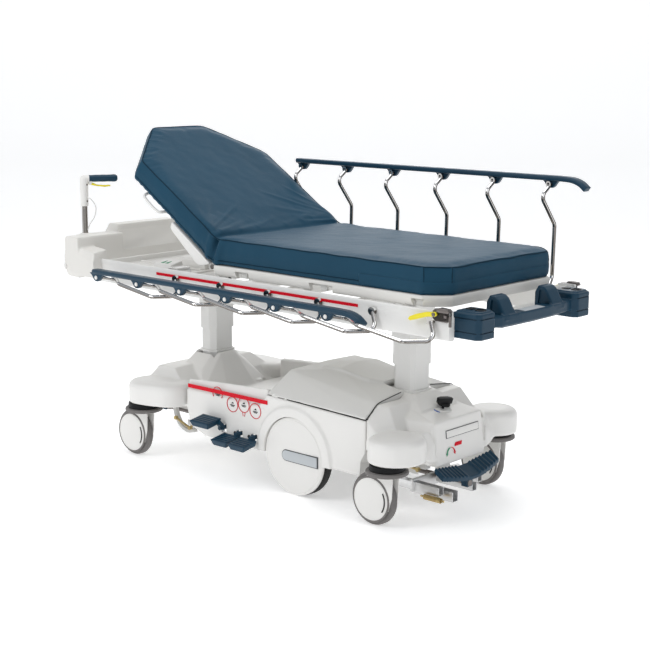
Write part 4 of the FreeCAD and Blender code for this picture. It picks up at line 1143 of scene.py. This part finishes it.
def foot_bumper():
    """Blue foot-end bumper: corner blocks, bowed bar, two hooked fins, sockets and a blank plate."""
    blocks = [prism("bar", [(1000, -300), (1060, -300), (1078, -200), (1084, -90), (1084, 90), (1078, 200),
                            (1060, 300), (1000, 300), (1000, 196), (1030, 176), (1030, -176), (1000, -196)],
                    "z", 784, 822)]
    blocks.append(prism("lower", [(1030, -200), (1064, -180), (1069, 0), (1064, 180), (1030, 200)], "z",
                        775, 788))
    for side in SIDES:
        corner = [(978, 250), (1070, 250), (1090, 264), (1090, 338), (1074, 352), (978, 352)]
        blocks.append(prism("corner", [(x, side * y) for x, y in corner], "z", 756, 846))
        upper = [(986, 258), (1066, 258), (1082, 270), (1082, 332), (1068, 344), (986, 344)]
        blocks.append(prism("corner_top", [(x, side * y) for x, y in upper], "z", 840, 853))
        fin = [(996, 800), (1082, 804), (1072, 828), (1046, 872), (1032, 884), (1010, 886), (996, 862)]
        blocks.append(prism("fin", fin, "y", *span(side, 116, 184)))
    body = softened(joined("foot_bumper_body", blocks), 3.0, 4)
    cuts = []
    for side in SIDES:
        cuts.append(turned("socket", [(0, 0), (13.4, 0), (13.4, 100), (0, 100)],
                           (SOCKET_X, side * SOCKET_Y, 776), (0, 0, 1), 40))
        hook = [(1010, 818), (1066, 816), (1038, 862), (1016, 872)]
        cuts.append(prism("hook", hook, "y", *span(side, 128, 172)))
        cuts.append(prism("hook_side", hook, "y", *span(side, 178, 190)))
        cuts.append(prism("hook_side", hook, "y", *span(side, 110, 122)))
        for z in (778, 826):
            cuts.append(block("groove", 1085, 1110, *span(side, 240, 360), z, z + 4))
            cuts.append(block("groove", 970, 1110, *span(side, 348, 360), z, z + 4))
    boolean(body, cuts)
    finished(body, "litter", BLUE, ["foot_bumper"], angle=40)
    plate = hull("plate", [(x, y, z) for y in (-62, 62)
                           for x, z in ((1040, 824.6), (1078, 823), (1040, 820), (1078, 819))])
    plate.name = "bumper_plate"
    finished(plate, "litter", LABEL, bevel=0.8)
    collars, pins = [], []
    for side in SIDES:
        collars.append(turned("collar", [(13.5, 0), (20, 0), (20, 4), (17, 6), (13.5, 6)],
                              (SOCKET_X, side * SOCKET_Y, 850), (0, 0, 1), 40))
        collars.append(block("slot", 1000, 1028, *span(side, 288, 312), 848, 855.5))
        pins.append(turned("pin", [(0, 0), (6, 0), (6, 2), (4, 3), (0, 3)], (1014, side * 276, 851),
                           (0, 0, 1), 24))
    finished(joined("socket_collars", collars), "litter", BLACK, bevel=0.8)
    finished(joined("bumper_pins", pins), "litter", STEEL)


def push_handles():
    """Post, sleeve, padded grip and cable of each push handle."""
    for which, side in (("right", -1), ("left", 1)):
        foot = Vector((HANDLE_X, side * HANDLE_Y, 0))
        body = "push_handle_" + which
        post = round_rod("handle_post_" + which, foot + Vector((0, 0, 852)), foot + Vector((0, 0, 1066)),
                         12.8, 40)
        finished(post, body, CHROME)
        top = foot + Vector((0, 0, 1176))
        sleeve = turned("sleeve", [(0, 3), (13, 3), (13, 0), (16.5, 0), (17.5, 2), (18, 60), (18.5, 108),
                                   (18, 120), (14.5, 129), (8, 133), (0, 134)], foot + Vector((0, 0, 1056)),
                        (0, 0, 1), 48)
        direction = Vector((0.52, -side * 0.854, 0)).normalized()
        neck = turned("neck", [(0, -4), (15.5, -4), (16.5, 4), (16, 22), (0, 22)], top, direction, 40)
        pin_at = top + direction * 26 + Vector((0, 0, -21))
        cross = Vector((direction.y, -direction.x, 0))
        ears = [hull("ear", [pin_at + cross * (s * 7.5 + t) + direction * a + Vector((0, 0, b))
                             for t in (-1.6, 1.6) for a, b in ((-7, 0), (-4, -6), (4, -6), (7, 0), (8, 12),
                (-8, 12))]) for s in SIDES]
        shell_piece = joined("handle_sleeve_" + which, [sleeve, neck, *ears])
        finished(shell_piece, body, WHITE, [body])
        grip = turned("handle_grip_" + which, [(0, 20), (15, 20), (16, 23), (14.6, 30), (15.6, 48),
                (15.2, 66), (15.8, 84), (15.2, 102), (15.8, 120), (16.6, 132), (15, 141), (10, 146),
                (0, 147)], top, direction, 48)
        finished(grip, body, BLUE)
        screws = [turned("screw", [(0, 0), (4.2, 0), (4.2, 1.6), (3, 2.6), (0, 2.6)],
                         foot + Vector((17, side * -2, z)), (1, 0, 0), 20) for z in (1078, 1150)]
        screws.append(round_rod("pin", pin_at - cross * 8, pin_at + cross * 8, 2.4))
        finished(joined("handle_screws_" + which, screws), body, STEEL)
        inward = Vector((0, -side, 0))
        loop = smooth_path([foot + Vector((16, 0, 1092)), foot + Vector((30, 0, 1086)) + inward * 14,
                            foot + Vector((40, 0, 1052)) + inward * 30,
                            foot + Vector((36, 0, 1012)) + inward * 26,
                            foot + Vector((22, 0, 980)) + inward * 12, foot + Vector((17, 0, 952))],
                           steps=8)
        finished(swept("handle_cable_" + which, loop, ring_section(2.3, 10)), body, GREY, angle=None)
        shape = [(-6, -6), (6, -8), (30, -13), (62, -17), (88, -15), (90, -11), (84, -8), (60, -9),
                 (30, -6), (6, 5), (-6, 4)]
        points = [pin_at + direction * a + Vector((0, 0, b)) + cross * t for t in (-5.4, 5.4)
                  for a, b in shape]
        trigger = slab("trigger_lever_" + which, points)
        finished(trigger, "push_trigger_" + which, YELLOW, ["push_trigger_" + which],
                 bevel=1.6)


def rail_latches():
    """Yellow release levers and their dark pivot brackets."""
    for which, side in (("right", -1), ("left", 1)):
        shape = [(825, 809), (834, 804), (862, 812), (905, 826), (944, 831), (950, 838), (944, 847),
                 (905, 843), (862, 831), (832, 819)]
        lever = prism("latch_lever_" + which, shape, "y", *span(side, 399.6, 408.4))
        cutter = turned("hole", [(0, 0), (4.2, 0), (4.2, 30), (0, 30)], (938, side * 392, 838),
                        (0, side, 0), 24)
        boolean(lever, [cutter])
        finished(lever, "rail_latch_" + which, YELLOW, ["rail_latch_" + which], bevel=1.8)
        parts = [prism("plate", [(925, 822), (936, 814), (990, 812), (1000, 818), (1000, 850), (990, 857),
                                 (934, 857), (925, 850)], "y", *span(side, 386, 398))]
        parts.append(prism("guard", [(948, 852), (962, 864), (1000, 862), (1006, 852), (1000, 848),
                                     (960, 848)], "y", *span(side, 390, 412)))
        parts = [bevelled_now(part, 1.2) for part in parts]
        parts.append(turned("bolt", [(0, 0), (8, 0), (8, 2), (5, 4), (0, 4)], (938, side * 408.6, 838),
                            (0, side, 0), 6))
        parts.append(turned("bolt", [(0, 0), (7, 0), (7, 3), (5, 5), (0, 5)], (982, side * 398, 834),
                            (0, side, 0), 6))
        parts.append(round_rod("rod", (1000, side * 396, 838), (1000, side * 396, 800), 5))
        finished(joined("latch_bracket_" + which, parts), "litter", STEEL)


# ---- side rails -----------------------------------------------------------------------------------
def rail_bars():
    """Blue top rails: a rounded bar, a boot and pin head over each post, and the drooping foot end.

    The groove below the foot end is where the last post lies when the rail is folded down.
    """
    def bar_pieces():
        eye_x, eye_z = POST_X + EYE_X, POST_Z + EYE_Z
        centre = eye_z + 23
        path = [(eye_x - (POST_COUNT - 1) * POST_PITCH - 27, 450, centre), (eye_x + 40, 450, centre),
                (eye_x + 100, 450, centre - 3), (eye_x + 138, 450, centre - 15),
                (eye_x + 166, 450, centre - 36)]
        path = [path[0], *smooth_path(path[1:], steps=8)]
        section = []
        for corner_y, corner_z, start in ((12, 3.2, 0), (-12, 3.2, 90), (-12, -3.2, 180), (12, -3.2, 270)):
            for k in range(6):
                angle = math.radians(start + 18 * k)
                section.append((corner_y + 8 * math.cos(angle), corner_z + 7.4 * math.sin(angle)))
        bar = bevelled_now(swept("bar", path, section), 3)
        groove = []
        for x, y, z in ((-86, 396, 366), (-75.5, 454.5, 280.5), (-72.8, 472.5, 253), (-72.6, 474, 222),
                        (-76, 474, 120)):
            x, z = x - EYE_X, z - EYE_Z
            groove.append((eye_x + x * math.cos(RAIL_SWING) - z * math.sin(RAIL_SWING), y,
                           eye_z + x * math.sin(RAIL_SWING) + z * math.cos(RAIL_SWING)))
        boolean(bar, [swept("groove", groove, ring_section(9.4, 20))])
        boots, pins = [], []
        for i in range(POST_COUNT):
            x = eye_x - i * POST_PITCH
            tab = [(x - 46, eye_z + 18), (x - 30, eye_z + 8), (x - 17, eye_z - 10), (x - 8, eye_z - 16),
                   (x + 8, eye_z - 16), (x + 17, eye_z - 10), (x + 30, eye_z + 8), (x + 46, eye_z + 18)]
            boots.append(bevelled_now(prism("boot", tab, "y", 449.6, 467), 2.2))
            pins.append(turned("pin", [(0, -19), (4.8, -19), (4.8, 0), (8.2, 0), (8.6, 2), (6.8, 4.4),
                                       (0, 5.2)], (x, 467, eye_z), (0, 1, 0), 32))
        return joined("bar", [bar, *boots]), joined("pins", pins)
    low_left, low_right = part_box("rail_left")[0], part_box("rail_right")[0]
    drop = Vector((low_right.x - low_left.x, 0, low_right.z - low_left.z)) / MM
    for which in ("left", "right"):
        bar, pins = bar_pieces()
        if which == "right":
            made = []
            for piece in (bar, pins):
                other = mirrored("other", piece)
                other.data.transform(Matrix.Translation(drop * MM))
                bpy.data.objects.remove(piece)
                made.append(other)
            bar, pins = made
        bar.name, pins.name = "rail_bar_" + which, "rail_pins_" + which
        finished(bar, "rail_" + which, BLUE, ["rail_" + which])
        finished(pins, "rail_" + which, WHITE)


foot_pedals()
butterfly_pedals()
selector()
deck()
litter_pan()
litter_trim()
head_housing()
foot_bumper()
push_handles()
rail_latches()
rail_bars()


# ---- backrest board and mattress ------------------------------------------------------------------

def turn_up(point):
    """A point of the flat backrest, raised about the hinge."""
    x, z = point[0] - HINGE_X, point[2] - HINGE_Z
    return Vector((HINGE_X + x * math.cos(RAISE) + z * math.sin(RAISE), point[1],
                   HINGE_Z + z * math.cos(RAISE) - x * math.sin(RAISE)))


def raise_mesh(piece):
    """A piece of the backrest, built flat and raised about the hinge."""
    for vertex in piece.data.vertices:
        vertex.co = turn_up(vertex.co / MM) * MM
    return piece


def backrest_board():
    """Board under the backrest mattress, its side arms at the hinge, strut brackets and release bars."""
    outline = [(-246, -326), (-800, -326), (-1000, -138), (-1000, 138), (-800, 326), (-246, 326)]
    board = bevelled_now(prism("board", outline, "z", 870, 888), 4)
    well = prism("well", [(-300, -290), (-780, -290), (-955, -120), (-955, 120), (-780, 290), (-300, 290)],
                 "z", 860, 876)
    boolean(board, [well])
    parts = [board]
    for side in SIDES:
        arm = prism("arm", [(-500, 888), (-494, 862), (-470, 856), (-300, 838), (-278, 840), (-262, 852),
                            (-236, 880), (-236, 888)], "y", *span(side, 340, 368))
        parts.append(bevelled_now(arm, 5))
        parts.append(bevelled_now(block("web", -480, -240, *span(side, 320, 344), 866, 886), 3))
        eye = prism("eye", [(-262, 868), (-262, 887), (-222, 887), (-212, 880), (-212, 872), (-222, 866)],
                    "y", *span(side, 333, 349))
        parts.append(bevelled_now(eye, 2))
    for x in (-420, -560, -700):
        parts.append(bevelled_now(block("rib", x - 6, x + 6, -288, 288, 866, 877), 2))
    body = raise_mesh(joined("backrest_board", parts))
    finished(body, "backrest", WHITE, ["backrest_panel"])
    pin_x, pin_z, strut_y = -338.9, 852.2, 230
    brackets = []
    for side in SIDES:
        for offset in (-21, 21):
            plate = [(pin_x - 26, 872), (pin_x - 12, pin_z - 13), (pin_x + 12, pin_z - 13), (pin_x + 26, 872)]
            y = side * strut_y + offset
            brackets.append(bevelled_now(prism("plate", plate, "y", y - 2.8, y + 2.8), 1.2))
        brackets.append(round_rod("pin", (pin_x, side * strut_y - 26, pin_z),
                                  (pin_x, side * strut_y + 26, pin_z), 6.4))
    finished(raise_mesh(joined("strut_brackets", brackets)), "backrest", PAINT)
    bars = []
    for side in SIDES:
        path = [(-704, side * 322, 880), (-700, side * 352, 875), (-688, side * 366, 870),
                (-640, side * 369, 868), (-592, side * 366, 870), (-580, side * 352, 875),
                (-576, side * 322, 880)]
        bars.append(raise_mesh(swept("bar", smooth_path(path, steps=5), ring_section(6.2, 16))))
    finished(joined("release_bars", bars), "backrest", WHITE, angle=None)


def inflated(piece, voxel, reach):
    """The stuffed form of a pad: its skin is remeshed, blown up a little, and kept near where it was."""
    modifier = piece.modifiers.new("skin", "REMESH")
    modifier.mode = "VOXEL"
    modifier.voxel_size = voxel * MM
    apply_modifiers(piece)
    start = [v.co.copy() for v in piece.data.vertices]
    cloth = piece.modifiers.new("cover", "CLOTH")
    for key, value in (("quality", 4), ("mass", 0.35), ("tension_stiffness", 22),
                       ("compression_stiffness", 22), ("shear_stiffness", 8), ("bending_stiffness", 0.6),
                       ("use_pressure", True), ("uniform_pressure_force", 4)):
        setattr(cloth.settings, key, value)
    cloth.settings.effector_weights.gravity = 0
    cloth.point_cache.frame_start = 1
    cloth.point_cache.frame_end = STUFFING_FRAMES
    scene = bpy.context.scene
    for step in range(1, STUFFING_FRAMES + 1):
        scene.frame_set(step)
    apply_modifiers(piece)
    for vertex, origin in zip(piece.data.vertices, start):
        move = vertex.co - origin
        if move.length > reach * MM:
            vertex.co = origin + move.normalized() * reach * MM
    scene.frame_set(1)
    return piece


def mattress_folds():
    """Soft folds fanning out of both ends of the crease: (start, end, half width, height)."""
    folds = []
    pick = random.Random(11)
    for side in SIDES:
        for k in range(9):
            turn = 0.12 + 0.13 * k
            length = pick.uniform(150, 380) * (1.0 if k < 5 else 0.75)
            begin = Vector((-10 - 9 * k, side * 366))
            end = begin + Vector((-math.sin(turn), -side * math.cos(turn))) * length
            folds.append((begin, end, pick.uniform(9, 17), pick.uniform(3.6, 6.4)))
        for k in range(5):
            turn = 0.10 + 0.24 * k
            length = pick.uniform(120, 260)
            begin = Vector((8 + 10 * k, side * 366))
            end = begin + Vector((math.sin(turn), -side * math.cos(turn))) * length
            folds.append((begin, end, pick.uniform(10, 18), pick.uniform(2.4, 4.4)))
    for k in range(6):
        y = -300 + 110 * k + pick.uniform(-30, 30)
        begin = Vector((-18 - pick.uniform(0, 30), y))
        end = begin + Vector((pick.uniform(-70, -20), pick.uniform(120, 200)))
        folds.append((begin, end, pick.uniform(10, 16), pick.uniform(1.5, 3.0)))
    return folds


def fold_height(folds, s, y):
    """Height of all folds at a point: s across the crease, y along it."""
    total = 0.0
    here = Vector((s, y))
    for begin, end, width, height in folds:
        if abs(s - (begin.x + end.x) / 2) > 320:
            continue
        span = end - begin
        t = max(0.0, min(1.0, (here - begin).dot(span) / span.length_squared))
        away = (here - begin - span * t).length / width
        if away < 3:
            total += height * (1 - t) ** 0.7 * math.exp(-away * away)
    return total


def mattress():
    """One mattress over seat and backrest: stuffed, creased at the hinge and pinched at the crease's ends."""
    half, top, bottom = 369, 990, 891
    tilt = math.tan(MITRE)
    seat = [(861, half), (942, 300), (942, -300), (861, -half)]
    back = [(-794, half), (-1014, 149), (-1014, -149), (-794, -half)]
    points = [(x, y, z) for x, y in seat for z in (bottom, top)]
    points += [(HINGE_X + (z - HINGE_Z) * tilt - 5, side * half, z) for side in SIDES for z in (bottom, top)]
    slabs = [hull("seat", points)]
    points = [(x, y, z) for x, y in back for z in (bottom, top)]
    points += [(HINGE_X - (z - HINGE_Z) * tilt + 5, side * half, z) for side in SIDES for z in (bottom, top)]
    slabs.append(raise_mesh(hull("back", points)))
    pad = inflated(joined("mattress", slabs), 9.0, 9.0)
    finer = pad.modifiers.new("finer", "SUBSURF")
    finer.levels = 1
    finer.render_levels = 1
    apply_modifiers(pad)
    across = Vector((math.cos(MITRE), 0, -math.sin(MITRE)))
    hinge = Vector((HINGE_X, 0, HINGE_Z))
    up_seat = Vector((0, 0, 1))
    up_back = Vector((math.sin(RAISE), 0, math.cos(RAISE)))
    folds = mattress_folds()
    normals = [v.normal.copy() for v in pad.data.vertices]
    for vertex, normal in zip(pad.data.vertices, normals):
        p = vertex.co / MM
        off = (p - hinge).dot(across)
        up = up_seat if off > 0 else up_back
        height = (p - hinge).dot(up)
        facing = normal.dot(up)
        s = off / math.cos(MITRE)
        move = Vector()
        if facing > 0.5:
            swell = fold_height(folds, s, p.y) - 5.0 * math.exp(-(off / 13) ** 2)
            swell += 1.6 * noise.noise(Vector((s, p.y, 0)) / 130) + 0.8 * noise.noise(Vector((s, p.y,
                    9)) / 45)
            edge = min(1.0, max(0.0, (372 - abs(p.y)) / 30))
            move += normal * swell * (0.25 + 0.75 * edge)
        elif abs(normal.y) > 0.5:
            share = min(1.0, max(0.0, (height - 12) / 100))
            pinch = -24 * share * math.exp(-(off / 11) ** 2) + 8 * math.exp(-((abs(off) - 30) / 17) ** 2)
            middle = 1 - abs(2 * share - 1)
            gather = 2.2 * math.sin(off / 11.0 + share) * math.exp(-abs(off) / 90) * (0.3 + middle)
            wave = 1.5 * noise.noise(Vector((off / 70, height / 60, 3)))
            move += normal * (pinch + gather + wave + 3.5 * middle)
        else:
            move += normal * 1.5 * noise.noise(Vector((p.y / 90, height / 60, 5)))
        p += move
        floor = (p - hinge).dot(up)
        if floor < 12.2:
            p += up * (12.2 - floor)
        vertex.co = p * MM
    shaded(pad, None)
    return pad


def skin_of(pad):
    """Search tree over the stuffed skin."""
    graph = bpy.context.evaluated_depsgraph_get()
    graph.update()
    return BVHTree.FromObject(pad, graph)


def divided(points, step, closed=False):
    """The corners of a path with points added between them, about one step apart."""
    dense = []
    count = len(points)
    for i in range(count if closed else count - 1):
        a, b = Vector(points[i]), Vector(points[(i + 1) % count])
        steps = max(1, int((b - a).length / step))
        dense += [a + (b - a) * k / steps for k in range(steps)]
    if not closed:
        dense.append(Vector(points[-1]))
    return dense


def mattress_seams(pad):
    """Piping round the top and bottom edges and upright seams at the foot end, laid on the stuffed skin."""
    tree = skin_of(pad)
    half, tilt = 374, math.tan(MITRE)

    def laid(points, lift, closed):
        placed = []
        for p in divided(points, 16, closed):
            spot, normal = tree.find_nearest(p * MM)[:2]
            placed.append(spot / MM + normal * lift)
        for _ in range(2):
            count = len(placed)
            ends = () if closed else (0, count - 1)
            placed = [placed[i] if i in ends else
                      placed[i] * 0.5 + (placed[i - 1] + placed[(i + 1) % count]) * 0.25
                      for i in range(count)]
        return placed

    def around(z):
        seat = [(HINGE_X + (z - HINGE_Z) * tilt, -half, z), (864, -half, z), (948, -300, z), (948, 300, z),
                (864, half, z), (HINGE_X + (z - HINGE_Z) * tilt, half, z)]
        back = [(-792, half, z), (-1012, 149, z), (-1012, -149, z), (-792, -half, z)]
        return seat + [turn_up(p) for p in back]
    piping = [swept("piping", laid(around(z), lift, True), ring_section(radius, 10), closed=True)
              for z, lift, radius in ((996, 0.4, 2.6), (907, 0.2, 1.9))]
    seams = joined("mattress_piping", piping)
    upright = []
    for side in SIDES:
        for x, y in ((864, half), (948, 300)):
            path = laid([(x, side * y, 990), (x, side * y, 900)], 0.0, False)
            upright.append(swept("upright", path, ring_section(1.7, 8)))
    closing = joined("mattress_corner_seams", upright)
    return seams, closing


def mattress_flap(pad):
    """Overlapping hem of the cover round the foot end."""
    tree = skin_of(pad)
    path = [(560, -372, 0), (864, -372, 0), (944, -300, 0), (944, 300, 0), (864, 372, 0), (560, 372, 0)]
    bm = bmesh.new()
    rows = []
    for i, p in enumerate(divided(path, 18)):
        row = []
        for k, z in enumerate((894, 906, 918, 930, 936)):
            spot, normal = tree.find_nearest(Vector((p.x, p.y, z)) * MM)[:2]
            droop = 2.4 + 1.2 * math.sin(i * 0.7) * (k < 2)
            lift = droop if k < 4 else 0.6
            row.append(bm.verts.new(spot + normal * lift * MM))
        rows.append(row)
    for a, b in zip(rows, rows[1:]):
        for k in range(4):
            bm.faces.new((a[k], b[k], b[k + 1], a[k + 1]))
    hem = from_bmesh("mattress_hem", bm)
    thick = hem.modifiers.new("thick", "SOLIDIFY")
    thick.thickness = 2.4 * MM
    thick.offset = 0
    finer = hem.modifiers.new("finer", "SUBSURF")
    finer.levels = 1
    apply_modifiers(hem)
    finished(hem, "litter", NAVY, angle=None)


def soft_goods():
    """Mattress with its seams and hem."""
    pad = mattress()
    seams, closing = mattress_seams(pad)
    mattress_flap(pad)
    for piece, material in ((pad, NAVY), (seams, SEAM)):
        shaded(piece, None)
        piece.data.materials.clear()
        piece.data.materials.append(material)
        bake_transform(piece)
    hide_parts("seat_mattress", "backrest_mattress")
    finished(closing, "litter", SEAM, angle=None)


# ---- linkages below the base ----------------------------------------------------------------------
def channel(name, x0, x1, y, z, width, height, wall=2.6):
    """An open aluminium channel along the base."""
    w, h = width / 2, height / 2
    outline = [(y - w, z - h), (y + w, z - h), (y + w, z + h), (y + w - wall, z + h),
               (y + w - wall, z - h + wall), (y - w + wall, z - h + wall), (y - w + wall, z + h),
               (y - w, z + h)]
    return prism(name, outline, "x", x0, x1)


def coil(name, start, end, radius, wire, turns):
    """A spring between two points."""
    start, end = Vector(start), Vector(end)
    along = end - start
    side = along.orthogonal().normalized()
    other = along.normalized().cross(side)
    path = []
    for i in range(turns * 14 + 1):
        angle = 2 * math.pi * i / 14
        around_wire = side * math.cos(angle) + other * math.sin(angle)
        path.append(start + along * i / (turns * 14) + around_wire * radius)
    return swept(name, path, ring_section(wire, 8), up=along.normalized())


def underside():
    """Channels, springs and links that carry the pedals' motion to the castors."""
    rails = []
    for side in SIDES:
        rails.append(channel("channel", 560, 768, side * 122, 104, 30, 34))
        rails.append(channel("channel", -640, -470, side * 112, 116, 26, 28))
    rails.append(channel("channel", 600, 806, -84, 84, 34, 40))
    rails.append(channel("channel", 600, 800, 44, 92, 30, 30))
    rails.append(block("plate", 640, 652, -146, 146, 84, 132))
    rails.append(block("plate", -600, -590, -140, 140, 92, 150))
    finished(joined("linkage_channels", rails), "base", ALUMINIUM, bevel=0.8)
    springs, links, arms = [], [], []
    springs.append(coil("spring", (708, -146, 78), (786, -146, 78), 9, 2.0, 20))
    springs.append(round_rod("core", (690, -146, 78), (800, -146, 78), 4.2))
    springs.append(coil("spring", (-540, -166, 168), (-470, -166, 160), 7, 1.7, 16))
    for side in SIDES:
        for x0, z0, x1, z1 in ((-670, 140, -580, 110), (-560, 128, -490, 112), (560, 178, 640, 190),
                               (600, 194, 690, 184)):
            links.append(round_rod("link", (x0, side * 166, z0), (x1, side * 166, z1), 5))
            for x, z in ((x0, z0), (x1, z1)):
                links.append(turned("nut", [(0, -7), (8.5, -7), (8.5, 7), (0, 7)], (x, side * 166, z),
                                    (0, 1, 0), 6))
        curve = smooth_path([(-690, side * 150, 232), (-686, side * 150, 170), (-660, side * 150, 118),
                             (-610, side * 150, 92), (-560, side * 150, 100)], steps=6)
        arms.append(swept("arm", curve, flat_section(8, 11), up=(0, 1, 0)))
        arms.append(block("bracket", 590, 680, *span(side, 148, 156), 160, 240))
    finished(joined("linkage_springs", springs), "base", BRASS)
    finished(joined("linkage_rods", links), "base", BRASS)
    finished(joined("linkage_arms", arms), "base", PAINT, bevel=2)


backrest_board()
soft_goods()
underside()
